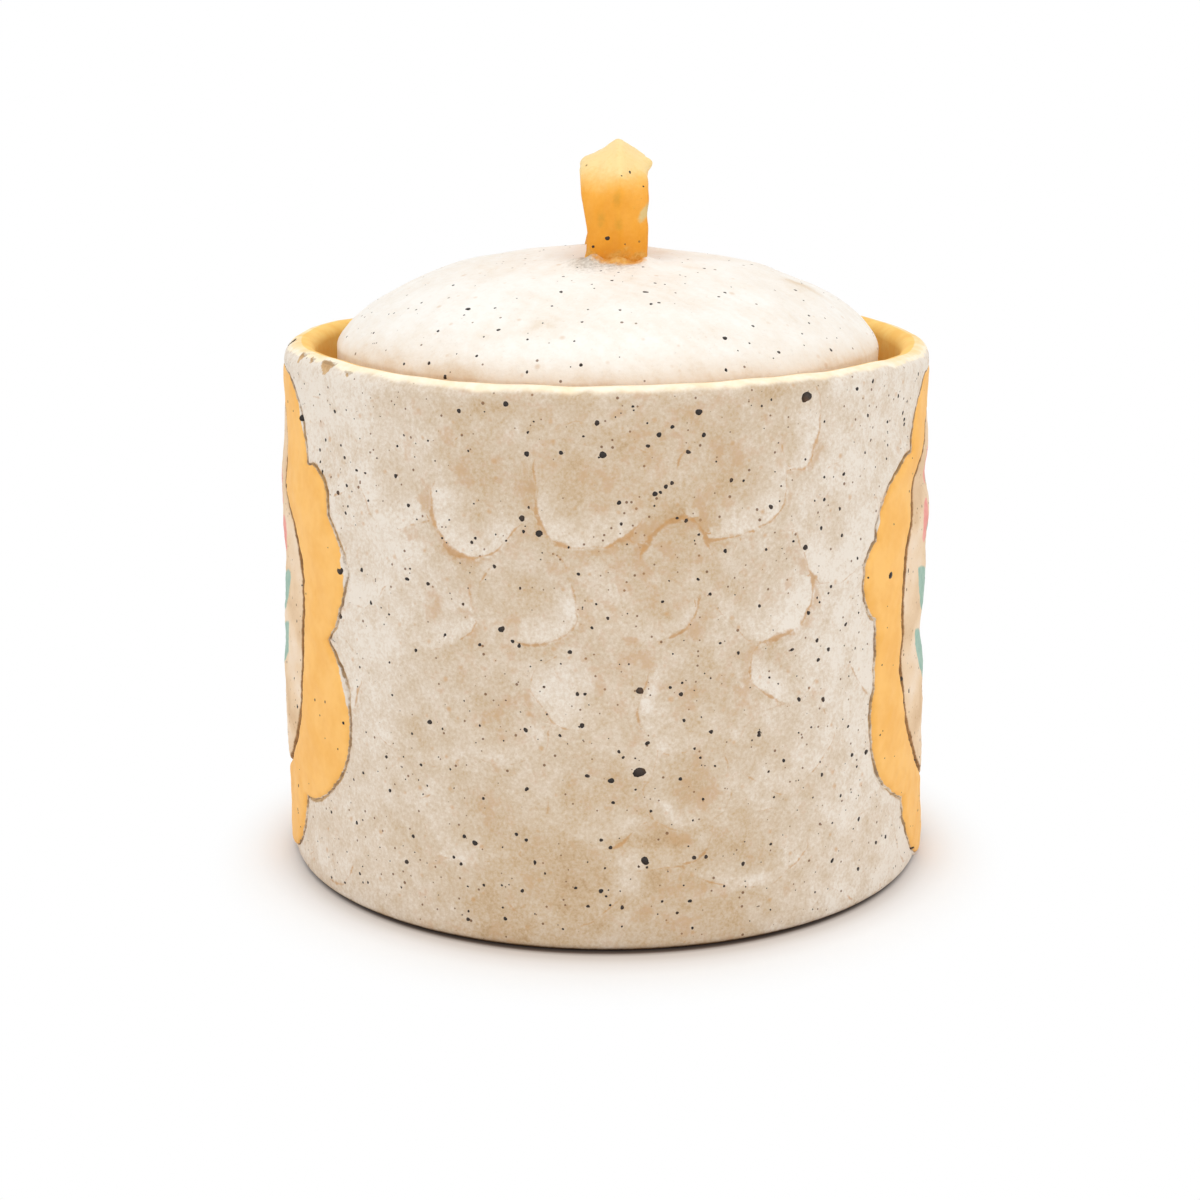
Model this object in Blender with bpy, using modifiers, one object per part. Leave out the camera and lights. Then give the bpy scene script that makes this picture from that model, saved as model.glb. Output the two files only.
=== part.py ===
"""Hand-built stoneware spice jar with a drop-in domed lid and a strap loop to lift it by.

Metres, +Z up. The origin is the middle of the foot, on the table. The plain thumb-pressed side faces -Y,
and the two framed panels face -X and +X.
"""

import math

import bmesh
import bpy

MM = 0.001

# Driving dimensions of the body
FOOT_RADIUS = 50.2 * MM
RIM_RADIUS = 49.3 * MM
RIM_HEIGHT = 80.6 * MM
WALL_THICKNESS = 4.3 * MM
FLOOR_THICKNESS = 5.0 * MM
FLOOR_EDGE = 0.5 * MM
FOOT_ROUND = 1.6 * MM
LIP_HEIGHT = 2.0 * MM
SEAT_HEIGHT = 72.0 * MM
SEAT_DEPTH = 5.5 * MM
SEAT_INNER_RADIUS = 37.6 * MM
SEAT_ROUND = 1.2 * MM

# Joined pieces keep this much air between them, and points nearer than the weld distance are one point
GAP = 0.3 * MM
WELD = 0.01 * MM

# Thumb presses: staggered rows of shallow hollows round the wall
PRESS_COLUMNS = 18
PRESS_ROWS = 5
PRESS_TOP = 66.5 * MM
PRESS_PITCH = 14.0 * MM
PRESS_HALF_WIDTH = 10.5 * MM
PRESS_HALF_HEIGHT = 9.0 * MM
PRESS_DEPTH = 0.7 * MM
PRESS_WANDER_ROUND = 0.12
PRESS_WANDER_UP = 1.2 * MM
PRESS_CLEAR_ANGLE = math.radians(47.0)
PRESS_FADE_ANGLE = math.radians(6.0)

# Framed panels, set in shallow pockets of the wall. They stand a little proud of it, and come down flush
# towards the rim. Each half outline runs from the top to the bottom as (distance round the wall from the
# panel's middle, height), in millimetres, with the bulge of the arc that follows each point.
INLAY_DEPTH = 1.2 * MM
FRAME_PROUD = 0.6 * MM
PANEL_PROUD = 0.3 * MM
FLUSH_ABOVE = 72.0 * MM
PROUD_BELOW = 62.0 * MM
ARC_STEPS = 7
LEFT_FRAME_CUSPS = (
    (0.0, 78.0), (15.5, 77.6), (22.2, 65.2), (28.4, 59.2), (28.7, 39.8), (21.7, 14.4), (0.0, 3.0)
)
LEFT_FRAME_BULGES = (0.0, 2.6, 2.6, 4.8, 9.2, 4.9)
LEFT_PANEL_CUSPS = ((0.0, 72.6), (13.6, 61.6), (0.0, 12.6))
LEFT_PANEL_BULGES = (3.2, 13.6)
RIGHT_FRAME_CUSPS = ((0.0, 78.0), (14.5, 77.6), (22.6, 66.4), (32.0, 41.0), (21.8, 13.4), (0.0, 2.8))
RIGHT_FRAME_BULGES = (0.0, 0.8, 6.8, 6.9, 5.0)
RIGHT_PANEL_CUSPS = ((0.0, 71.6), (18.4, 63.6), (25.0, 40.0), (0.0, 11.4))
RIGHT_PANEL_BULGES = (2.2, 2.0, 7.6)

# Lid: a superellipse dome over a plain side
LID_RADIUS = 41.75 * MM
LID_SIDE_TOP = 80.0 * MM
LID_CROWN = 94.0 * MM
LID_THICKNESS = 4.8 * MM
LID_ROUND = 1.4 * MM
LID_POWER_ACROSS = 2.25
LID_POWER_UP = 1.54

# Strap loop on the lid, springing from the dome in front and behind
STRAP_WIDTH = 10.0 * MM
STRAP_FOOT_SHARE = 0.9
STRAP_OFF_CENTRE = 1.2 * MM
STRAP_EDGE = 1.0 * MM
STRAP_RIDGE = 3.1 * MM
STRAP_INSIDE = 1.5 * MM
STRAP_CORNER = 0.6 * MM
STRAP_RIDGE_SHARE = 0.28
LOOP_HALF_SPAN = 11.2 * MM
LOOP_CENTRE = 96.5 * MM
LOOP_RISE = 10.6 * MM
LOOP_BURIED_ANGLE = math.radians(28.0)
LOOP_POINTS = 21

SEGMENTS = 90
WALL_ROWS = 26
FRONT_ANGLE = -math.pi / 2


def clear_scene():
    for obj in list(bpy.data.objects):
        bpy.data.objects.remove(obj, do_unlink=True)


def make_collection(name, hidden=False):
    collection = bpy.data.collections.new(name)
    collection.hide_render = hidden
    bpy.context.scene.collection.children.link(collection)
    return collection


def make_material(name, colour, roughness):
    material = bpy.data.materials.new(name)
    material.use_nodes = True
    shader = material.node_tree.nodes["Principled BSDF"]
    shader.inputs["Base Color"].default_value = (*colour, 1.0)
    shader.inputs["Roughness"].default_value = roughness
    shader.inputs["Metallic"].default_value = 0.0
    return material


def add_object(name, data, collection, material=None):
    obj = bpy.data.objects.new(name, data)
    collection.objects.link(obj)
    if material:
        obj.data.materials.append(material)
    return obj


def as_helper(obj):
    obj.hide_render = True
    obj.display_type = "WIRE"
    return obj


def baked_mesh(obj):
    """The object's evaluated shape as a plain mesh, with loose seams closed."""
    bpy.context.view_layer.update()
    graph = bpy.context.evaluated_depsgraph_get()
    mesh = bpy.data.meshes.new_from_object(obj.evaluated_get(graph))
    shape = bmesh.new()
    shape.from_mesh(mesh)
    bmesh.ops.remove_doubles(shape, verts=shape.verts, dist=WELD)
    bmesh.ops.recalc_face_normals(shape, faces=shape.faces)
    shape.to_mesh(mesh)
    shape.free()
    return mesh


def replace_with_baked(obj, collection, material=None):
    """Swaps a curve or a modified mesh for its plain mesh, at the same place."""
    mesh = baked_mesh(obj)
    mesh.materials.clear()
    name = obj.name
    matrix = obj.matrix_world.copy()
    bpy.data.objects.remove(obj, do_unlink=True)
    baked = add_object(name, mesh, collection, material)
    baked.matrix_world = matrix
    return baked


def add_boolean(obj, cutter, operation):
    modifier = obj.modifiers.new(operation.lower() + "_" + cutter.name, "BOOLEAN")
    modifier.operation = operation
    modifier.solver = "EXACT"
    modifier.object = cutter
    return modifier


def shade_round(obj, angle_degrees):
    mesh = obj.data
    mesh.shade_smooth()
    mesh.set_sharp_from_angle(angle=math.radians(angle_degrees))


def arc_points(centre_r, centre_z, radius_r, radius_z, start, end, steps):
    """Points of an ellipse arc in the (radius, height) plane, both ends included, angles in degrees."""
    points = []
    for step in range(steps + 1):
        angle = math.radians(start + (end - start) * step / steps)
        points.append((centre_r + radius_r * math.cos(angle), centre_z + radius_z * math.sin(angle)))
    return points


def turned(name, profile, collection, closed=True):
    """A profile of (radius, height) points, outer side first from the top, spun round the Z axis."""
    mesh = bpy.data.meshes.new(name)
    corners = [(r, 0.0, z) for r, z in profile]
    count = len(corners)
    edges = [(i, i + 1) for i in range(count - 1)]
    if closed:
        edges.append((count - 1, 0))
    mesh.from_pydata(corners, edges, [])
    obj = add_object(name, mesh, collection)
    screw = obj.modifiers.new("spin", "SCREW")
    screw.axis = "Z"
    screw.steps = SEGMENTS
    screw.render_steps = SEGMENTS
    screw.use_merge_vertices = True
    screw.merge_threshold = WELD
    return obj


def outer_radius(height):
    """The wall's outside, a cone that leans in a little from foot to rim."""
    return FOOT_RADIUS + (RIM_RADIUS - FOOT_RADIUS) * height / RIM_HEIGHT


def inner_radius(height):
    return outer_radius(height) - WALL_THICKNESS


def thumb_presses():
    """Middle of every press, as (angle round the jar, height), in staggered rows with a hand's wander.

    The wander is two sines out of step with the rows and columns, so that no two neighbours shift alike.
    """
    step = 2 * math.pi / PRESS_COLUMNS
    for row in range(PRESS_ROWS):
        stagger = 0.5 * (row % 2)
        for column in range(PRESS_COLUMNS):
            sideways = PRESS_WANDER_ROUND * math.sin(3.1 * row + 1.7 * column)
            upwards = PRESS_WANDER_UP * math.sin(row + 2.3 * column)
            yield FRONT_ANGLE + (column + stagger + sideways) * step, PRESS_TOP - row * PRESS_PITCH + upwards


def press_depth(angle, height, presses):
    """How far the thumb presses push the wall in at a point, fading out beside the framed panels."""
    from_panel = min(abs(math.remainder(angle - side, 2 * math.pi)) for side in (0.0, math.pi))
    fade = min(max((from_panel - PRESS_CLEAR_ANGLE) / PRESS_FADE_ANGLE, 0.0), 1.0)
    deepest = 0.0
    for press_angle, press_height in presses:
        across = math.remainder(angle - press_angle, 2 * math.pi) * RIM_RADIUS / PRESS_HALF_WIDTH
        up = (height - press_height) / PRESS_HALF_HEIGHT
        deepest = max(deepest, 1.0 - across * across - up * up)
    return PRESS_DEPTH * fade * deepest


def wall_profile():
    lip_foot = RIM_HEIGHT - LIP_HEIGHT
    half = WALL_THICKNESS / 2
    middle = outer_radius(lip_foot) - half
    lip = arc_points(middle, lip_foot, half, LIP_HEIGHT, 90, 0, 4)
    side = []
    for row in range(1, WALL_ROWS):
        height = lip_foot + (FOOT_ROUND - lip_foot) * row / WALL_ROWS
        side.append((outer_radius(height), height))
    foot = arc_points(FOOT_RADIUS - FOOT_ROUND, FOOT_ROUND, FOOT_ROUND, FOOT_ROUND, 0, -90, 3)
    inside = [(inner_radius(height), height) for height in (0.0, RIM_HEIGHT / 2)]
    inner_lip = arc_points(middle, lip_foot, half, LIP_HEIGHT, 180, 90, 4)
    return lip + side + foot + inside + inner_lip[:-1]


def press_wall(obj):
    """Pushes the thumb presses into the outside of the baked wall."""
    presses = list(thumb_presses())
    for vertex in obj.data.vertices:
        radius = math.hypot(vertex.co.x, vertex.co.y)
        on_side = FOOT_ROUND < vertex.co.z < RIM_HEIGHT - LIP_HEIGHT
        if on_side and radius > outer_radius(vertex.co.z) - WALL_THICKNESS / 2:
            angle = math.atan2(vertex.co.y, vertex.co.x)
            share = 1.0 - press_depth(angle, vertex.co.z, presses) / radius
            vertex.co.x *= share
            vertex.co.y *= share


def bulged_arc(start, end, bulge):
    """Points from start up to but not including end, on the arc that stands out from the chord by bulge."""
    chord_x = end[0] - start[0]
    chord_z = end[1] - start[1]
    chord = math.hypot(chord_x, chord_z)
    normal = (-chord_z / chord, chord_x / chord)
    steps = ARC_STEPS if bulge else 1
    radius = (chord * chord / 4 + bulge * bulge) / (2 * bulge) if bulge else 0.0
    points = []
    for step in range(steps):
        share = step / steps
        rise = 0.0
        if bulge:
            along = chord * (share - 0.5)
            rise = math.sqrt(radius * radius - along * along) - (radius - bulge)
        across = start[0] + chord_x * share + normal[0] * rise
        height = start[1] + chord_z * share + normal[1] * rise
        points.append((across, height))
    return points


def half_outline(cusps, bulges):
    """The chain of arcs from the top of a panel to its bottom, in metres."""
    points = []
    for start, end, bulge in zip(cusps, cusps[1:], bulges):
        points += bulged_arc(start, end, bulge)
    points.append(cusps[-1])
    return [(across * MM, height * MM) for across, height in points]


def whole_outline(cusps, bulges):
    half = half_outline(cusps, bulges)
    mirrored = [(-across, height) for across, height in reversed(half[1:-1])]
    return half + mirrored


def grown_outline(points, distance):
    """The outline moved outwards by distance along the normals at its corners. It runs clockwise."""
    grown = []
    for index, point in enumerate(points):
        before = points[index - 1]
        after = points[(index + 1) % len(points)]
        across = after[0] - before[0]
        up = after[1] - before[1]
        length = math.hypot(across, up)
        grown.append((point[0] - distance * up / length, point[1] + distance * across / length))
    return grown


def panel_prism(name, outline, side, collection):
    """A prism that stands out through the wall at -X or +X, with the outline wrapped on to the wall."""
    curve = bpy.data.curves.new(name, "CURVE")
    curve.dimensions = "2D"
    curve.fill_mode = "BOTH"
    curve.extrude = FOOT_RADIUS / 3
    spline = curve.splines.new("POLY")
    spline.points.add(len(outline) - 1)
    for point, (across, height) in zip(spline.points, outline):
        point.co = (outer_radius(height) * math.sin(across / outer_radius(height)), height, 0.0, 1.0)
    spline.use_cyclic_u = True
    obj = add_object(name, curve, collection)
    obj.rotation_euler = (math.pi / 2, 0.0, math.pi / 2)
    obj.location.x = side * FOOT_RADIUS
    return as_helper(replace_with_baked(obj, collection))


def raised(proud):
    """Heights and how far a skin stands out of the wall there, for a skin that is flush near the rim."""
    return (RIM_HEIGHT, 0.0), (FLUSH_ABOVE, 0.0), (PROUD_BELOW, proud), (0.0, proud)


def wall_layer(name, steps_out, depth, collection):
    """A skin that follows the wall's outside, standing out by steps_out and going in by depth."""
    profile = [(outer_radius(height) + out, height) for height, out in steps_out]
    profile += [(FOOT_RADIUS - depth, 0.0), (RIM_RADIUS - depth, RIM_HEIGHT)]
    return as_helper(replace_with_baked(turned(name, profile, collection), collection))


def build_wall(parts, cutters, material, pocket_prisms):
    wall = replace_with_baked(turned("wall_slab", wall_profile(), parts), parts, material)
    press_wall(wall)
    clear_of_wall = (RIM_HEIGHT, WALL_THICKNESS), (0.0, WALL_THICKNESS)
    for prism in pocket_prisms:
        pocket = wall_layer("cut_" + prism.name, clear_of_wall, INLAY_DEPTH + GAP, cutters)
        add_boolean(pocket, prism, "INTERSECT")
        add_boolean(wall, pocket, "DIFFERENCE")
    shade_round(wall, 35)
    return wall


def build_base(parts, material):
    shape = bmesh.new()
    radius = inner_radius(FLOOR_THICKNESS) - GAP
    bmesh.ops.create_cone(
        shape, cap_ends=True, segments=SEGMENTS, radius1=radius, radius2=radius, depth=FLOOR_THICKNESS
    )
    bmesh.ops.translate(shape, verts=shape.verts, vec=(0.0, 0.0, FLOOR_THICKNESS / 2))
    mesh = bpy.data.meshes.new("base_slab")
    shape.to_mesh(mesh)
    shape.free()
    base = add_object("base_slab", mesh, parts, material)
    edge = base.modifiers.new("eased_edge", "BEVEL")
    edge.width = FLOOR_EDGE
    edge.segments = 2
    edge.limit_method = "ANGLE"
    return base


def build_seat(parts, material):
    """The coil that the lid rests on, a flattened ring below the rim."""
    low = SEAT_HEIGHT - SEAT_DEPTH
    outside = inner_radius(SEAT_HEIGHT) - GAP
    inside = SEAT_INNER_RADIUS + SEAT_ROUND
    profile = [(outside, SEAT_HEIGHT), (outside, low)]
    profile += arc_points(inside, low + SEAT_ROUND, SEAT_ROUND, SEAT_ROUND, 270, 180, 3)
    profile += arc_points(inside, SEAT_HEIGHT - SEAT_ROUND, SEAT_ROUND, SEAT_ROUND, 180, 90, 3)
    seat = replace_with_baked(turned("lid_seat_coil", profile, parts), parts, material)
    shade_round(seat, 35)
    return seat


def build_inlay(name, prism, hole_prism, proud, parts, material):
    """A frame or a panel: the slice of the wall's skin inside the prism, less any hole."""
    inlay = wall_layer(name, raised(proud), INLAY_DEPTH, parts)
    inlay.hide_render = False
    inlay.display_type = "TEXTURED"
    inlay.data.materials.append(material)
    add_boolean(inlay, prism, "INTERSECT")
    if hole_prism:
        add_boolean(inlay, hole_prism, "DIFFERENCE")
    shade_round(inlay, 20)
    return inlay


def build_panels(side_name, side, frame_shape, panel_shape, parts, cutters, yellow, clay):
    """The frame and panel of one side, and the prism of the pocket that takes them."""
    frame_outline = whole_outline(*frame_shape)
    panel_outline = whole_outline(*panel_shape)
    frame_prism = panel_prism(side_name + "_frame_prism", frame_outline, side, cutters)
    hole_prism = panel_prism(side_name + "_hole_prism", grown_outline(panel_outline, GAP), side, cutters)
    fill_prism = panel_prism(side_name + "_panel_prism", panel_outline, side, cutters)
    build_inlay(side_name + "_frame", frame_prism, hole_prism, FRAME_PROUD, parts, yellow)
    build_inlay(side_name + "_panel", fill_prism, None, PANEL_PROUD, parts, clay)
    return panel_prism(side_name + "_pocket_prism", grown_outline(frame_outline, GAP), side, cutters)


def dome_points(radius, side_top, crown, steps):
    """The dome's superellipse from the crown down to the top of the side."""
    points = []
    for step in range(steps + 1):
        angle = math.pi / 2 * (1 - step / steps)
        across = radius * abs(math.cos(angle)) ** (2 / LID_POWER_ACROSS)
        up = side_top + (crown - side_top) * math.sin(angle) ** (2 / LID_POWER_UP)
        points.append((0.0 if step == 0 else across, up))
    return points


def lid_outside(grow=0.0):
    return dome_points(LID_RADIUS + grow, LID_SIDE_TOP, LID_CROWN + grow, 12)


def build_lid(parts, material):
    foot = SEAT_HEIGHT + GAP
    outer_foot = arc_points(LID_RADIUS - LID_ROUND, foot + LID_ROUND, LID_ROUND, LID_ROUND, 0, -90, 3)
    inner_radius_at_foot = LID_RADIUS - LID_THICKNESS
    inner_foot = arc_points(
        inner_radius_at_foot + LID_ROUND, foot + LID_ROUND, LID_ROUND, LID_ROUND, 270, 180, 3
    )
    hollow_side_top = LID_SIDE_TOP - LID_THICKNESS / 2
    hollow = dome_points(inner_radius_at_foot, hollow_side_top, LID_CROWN - LID_THICKNESS, 7)
    profile = lid_outside() + outer_foot + inner_foot + list(reversed(hollow))
    lid = replace_with_baked(turned("lid_dome", profile, parts, closed=False), parts, material)
    shade_round(lid, 35)
    return lid


def strap_section(cutters):
    """Cross-section of the strap: flat inside, a pinched ridge along the outside."""
    half = STRAP_WIDTH / 2
    one_side = [
        (half - STRAP_CORNER, -STRAP_INSIDE),
        (half, STRAP_CORNER - STRAP_INSIDE),
        (half, STRAP_EDGE - STRAP_CORNER),
        (half - STRAP_CORNER, STRAP_EDGE),
        (half * STRAP_RIDGE_SHARE, STRAP_RIDGE - STRAP_CORNER),
    ]
    other_side = [(-across, out) for across, out in reversed(one_side)]
    corners = one_side + [(0.0, STRAP_RIDGE)] + other_side
    curve = bpy.data.curves.new("strap_section", "CURVE")
    curve.dimensions = "2D"
    spline = curve.splines.new("POLY")
    spline.points.add(len(corners) - 1)
    # The sweep turns the section's -Y side to the outside of the loop
    for point, (across, out) in zip(spline.points, corners):
        point.co = (across, -out, 0.0, 1.0)
    spline.use_cyclic_u = True
    return as_helper(add_object("strap_section", curve, cutters))


def build_handle(parts, cutters, material):
    """The strap swept over its loop, with its feet trimmed to the dome."""
    curve = bpy.data.curves.new("lid_handle", "CURVE")
    curve.dimensions = "3D"
    curve.twist_mode = "MINIMUM"
    curve.bevel_mode = "OBJECT"
    curve.bevel_object = strap_section(cutters)
    curve.use_fill_caps = True
    spline = curve.splines.new("POLY")
    spline.points.add(LOOP_POINTS - 1)
    for index, point in enumerate(spline.points):
        share = index / (LOOP_POINTS - 1)
        angle = -LOOP_BURIED_ANGLE + (math.pi + 2 * LOOP_BURIED_ANGLE) * share
        along = -LOOP_HALF_SPAN * math.cos(angle)
        point.co = (STRAP_OFF_CENTRE, along, LOOP_CENTRE + LOOP_RISE * math.sin(angle), 1.0)
        point.radius = STRAP_FOOT_SHARE + (1 - STRAP_FOOT_SHARE) * max(math.sin(angle), 0.0)
    handle = replace_with_baked(add_object("lid_handle", curve, parts), parts, material)
    trim_profile = lid_outside(GAP) + [(0.0, LID_SIDE_TOP)]
    trim = turned("handle_trim", trim_profile, cutters, closed=False)
    trim = as_helper(replace_with_baked(trim, cutters))
    add_boolean(handle, trim, "DIFFERENCE")
    shade_round(handle, 40)
    return handle


def main():
    clear_scene()
    parts = make_collection("spice_jar")
    cutters = make_collection("cutters", hidden=True)
    slip = make_material("white_slip_on_speckled_clay", (0.69, 0.58, 0.46), 0.62)
    clay = make_material("bare_speckled_clay", (0.62, 0.44, 0.29), 0.85)
    yellow = make_material("yellow_underglaze", (0.91, 0.50, 0.14), 0.55)

    pockets = [
        build_panels(
            "left", -1, (LEFT_FRAME_CUSPS, LEFT_FRAME_BULGES), (LEFT_PANEL_CUSPS, LEFT_PANEL_BULGES),
            parts, cutters, yellow, clay,
        ),
        build_panels(
            "right", 1, (RIGHT_FRAME_CUSPS, RIGHT_FRAME_BULGES), (RIGHT_PANEL_CUSPS, RIGHT_PANEL_BULGES),
            parts, cutters, yellow, clay,
        ),
    ]
    build_wall(parts, cutters, slip, pockets)
    build_base(parts, clay)
    build_seat(parts, yellow)

    lid_axis = add_object("lid_axis", None, parts)
    lid_axis.location.z = SEAT_HEIGHT
    for piece in (build_lid(parts, slip), build_handle(parts, cutters, yellow)):
        piece.parent = lid_axis
        piece.matrix_parent_inverse.translation.z = -SEAT_HEIGHT


main()
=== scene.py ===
"""Looks of a hand-built stoneware spice jar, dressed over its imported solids.

The jar is a slab cylinder, thumb-pressed all over and brushed with thin white slip. Each side has a
scalloped yellow frame round a bare clay panel, and a drop-in domed lid is lifted by a yellow strap.
Sizes are in millimetres, and meshes in metres. Azimuths run anticlockwise from +X, seen from above.
"""

import logging
import math
from dataclasses import dataclass
from enum import Enum
from functools import cached_property
from typing import NamedTuple

import bpy
import numpy as np
from mathutils import Euler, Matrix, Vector
from mathutils.bvhtree import BVHTree


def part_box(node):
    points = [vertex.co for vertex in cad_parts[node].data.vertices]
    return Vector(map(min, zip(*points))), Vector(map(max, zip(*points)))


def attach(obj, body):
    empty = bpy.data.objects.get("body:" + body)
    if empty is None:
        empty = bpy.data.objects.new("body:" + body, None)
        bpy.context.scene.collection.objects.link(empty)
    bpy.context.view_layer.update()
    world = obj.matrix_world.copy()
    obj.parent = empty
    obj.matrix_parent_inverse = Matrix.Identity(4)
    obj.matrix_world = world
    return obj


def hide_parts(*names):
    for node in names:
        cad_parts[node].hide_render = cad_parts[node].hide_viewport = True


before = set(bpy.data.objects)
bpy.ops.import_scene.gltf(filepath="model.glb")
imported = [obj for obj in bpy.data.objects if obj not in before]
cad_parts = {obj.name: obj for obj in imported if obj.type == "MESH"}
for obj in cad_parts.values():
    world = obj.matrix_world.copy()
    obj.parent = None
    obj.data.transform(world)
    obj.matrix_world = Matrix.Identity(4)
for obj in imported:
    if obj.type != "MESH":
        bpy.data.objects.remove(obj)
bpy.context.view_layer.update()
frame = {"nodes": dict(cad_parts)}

MM = 0.001
TAU = 2 * math.pi
FRONT = -math.pi / 2
WELD = 1e-7
# Measures far outside and far inside whatever they measure, and of clay that wasn't wiped
NOWHERE, WITHIN, UNWIPED = -9.0, 5.0, -1.0
log = logging.getLogger("spice_jar")


class Side(Enum):
    """The two sides that carry a framed panel, by the sign of X."""

    LEFT = -1
    RIGHT = 1


class Slot(Enum):
    """Material slots of the part's record."""

    SLIP = "white_slip"
    YELLOW = "yellow_underglaze"
    CLAY = "bare_clay"


class Body(Enum):
    """Bodies of the part's record."""

    JAR = "jar"
    LID = "lid"


def linear_rgb(hex_colour: str) -> tuple[float, ...]:
    """Turns an sRGB hex colour into linear RGBA.

    Args:
        hex_colour: six hex digits after a hash.

    Returns:
        Red, green, blue and alpha as shaders take them.
    """
    shares = [int(hex_colour[start:start + 2], 16) / 255 for start in (1, 3, 5)]
    return (*(c / 12.92 if c <= 0.04045 else ((c + 0.055) / 1.055) ** 2.4 for c in shares), 1.0)


def smooth(low: float, high: float, values: np.ndarray) -> np.ndarray:
    """Eases from 0 at low to 1 at high.

    Args:
        low: value where the step starts, above high for a falling step.
        high: value where the step ends.
        values: what is measured.

    Returns:
        The eased share of each value.
    """
    share = np.clip((values - low) / (high - low), 0.0, 1.0)
    return share * share * (3 - 2 * share)


def turn_from(start: float, azimuth: np.ndarray) -> np.ndarray:
    """Angle from a start to each azimuth, the short way round."""
    return (azimuth - start + math.pi) % TAU - math.pi


def ripple(points: np.ndarray, wavelength: float, seed: int) -> np.ndarray:
    """A smooth wander in space, made of a few crossing waves.

    Args:
        points: rows of x, y, z in millimetres.
        wavelength: usual distance between crests in millimetres.
        seed: picks the waves.

    Returns:
        One value a point, mostly between -1 and 1.
    """
    waves = 9
    dice = np.random.default_rng(seed)
    ways = dice.normal(size=(waves, 3))
    ways /= np.linalg.norm(ways, axis=1)[:, None]
    lengths = wavelength * dice.uniform(0.65, 1.5, waves)
    phases = dice.uniform(0, TAU, waves)
    return np.sin(points @ (ways / lengths[:, None]).T * TAU + phases).sum(axis=1) / math.sqrt(waves)


def add_node(tree: bpy.types.NodeTree, kind: str, inputs: dict | None = None,
             stops: tuple = (), **settings: object) -> bpy.types.Node:
    """Adds a shader node with its settings and links.

    Args:
        tree: node tree to add to.
        kind: the node's type name.
        inputs: values or source sockets by input name or number.
        stops: positions and colours of a colour ramp.
        **settings: other properties of the node.

    Returns:
        The new node.
    """
    node = tree.nodes.new(kind)
    for name, value in settings.items():
        setattr(node, name, value)
    for key, value in (inputs or {}).items():
        if isinstance(value, bpy.types.NodeSocket):
            tree.links.new(value, node.inputs[key])
        else:
            node.inputs[key].default_value = value
    for index, (position, colour) in enumerate(stops):
        ramp = node.color_ramp.elements
        stop = ramp[index] if index < 2 else ramp.new(position)
        stop.position = position
        stop.color = linear_rgb(colour)
    return node


@dataclass(frozen=True)
class Layer:
    """A colour laid over those before it where a measure of the surface is past its edge.

    Attributes:
        measure: vertex attribute that places it.
        colour: its main colour.
        shade: its second colour, in patches.
        edge: measure at which it is half there.
        blur: width of its edge in the measure's unit.
        ragged: how far fine noise moves its edge, in the same unit.
        grain: size of that noise in millimetres.
        mottle: size of the patches of the second colour in millimetres.
        strength: how much it covers.
        line: vertex attribute with the half width of a line along the measure's zero, for a layer that
            is a line and not all that lies past its edge.
    """

    measure: str
    colour: str
    shade: str
    edge: float = 0.0
    blur: float = 0.1
    ragged: float = 0.0
    grain: float = 0.9
    mottle: float = 4.0
    strength: float = 1.0
    line: str = ""


@dataclass(frozen=True)
class Freckles:
    """Specks too fine to be modelled.

    Attributes:
        colour: of the specks.
        spacing: usual distance between them in millimetres.
        size: largest radius as a share of the spacing.
        blur: width of their edge as a share of the spacing.
        strength: how much they cover.
    """

    colour: str = "#6f5238"
    spacing: float = 1.7
    size: float = 0.16
    blur: float = 0.03
    strength: float = 0.85


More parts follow.
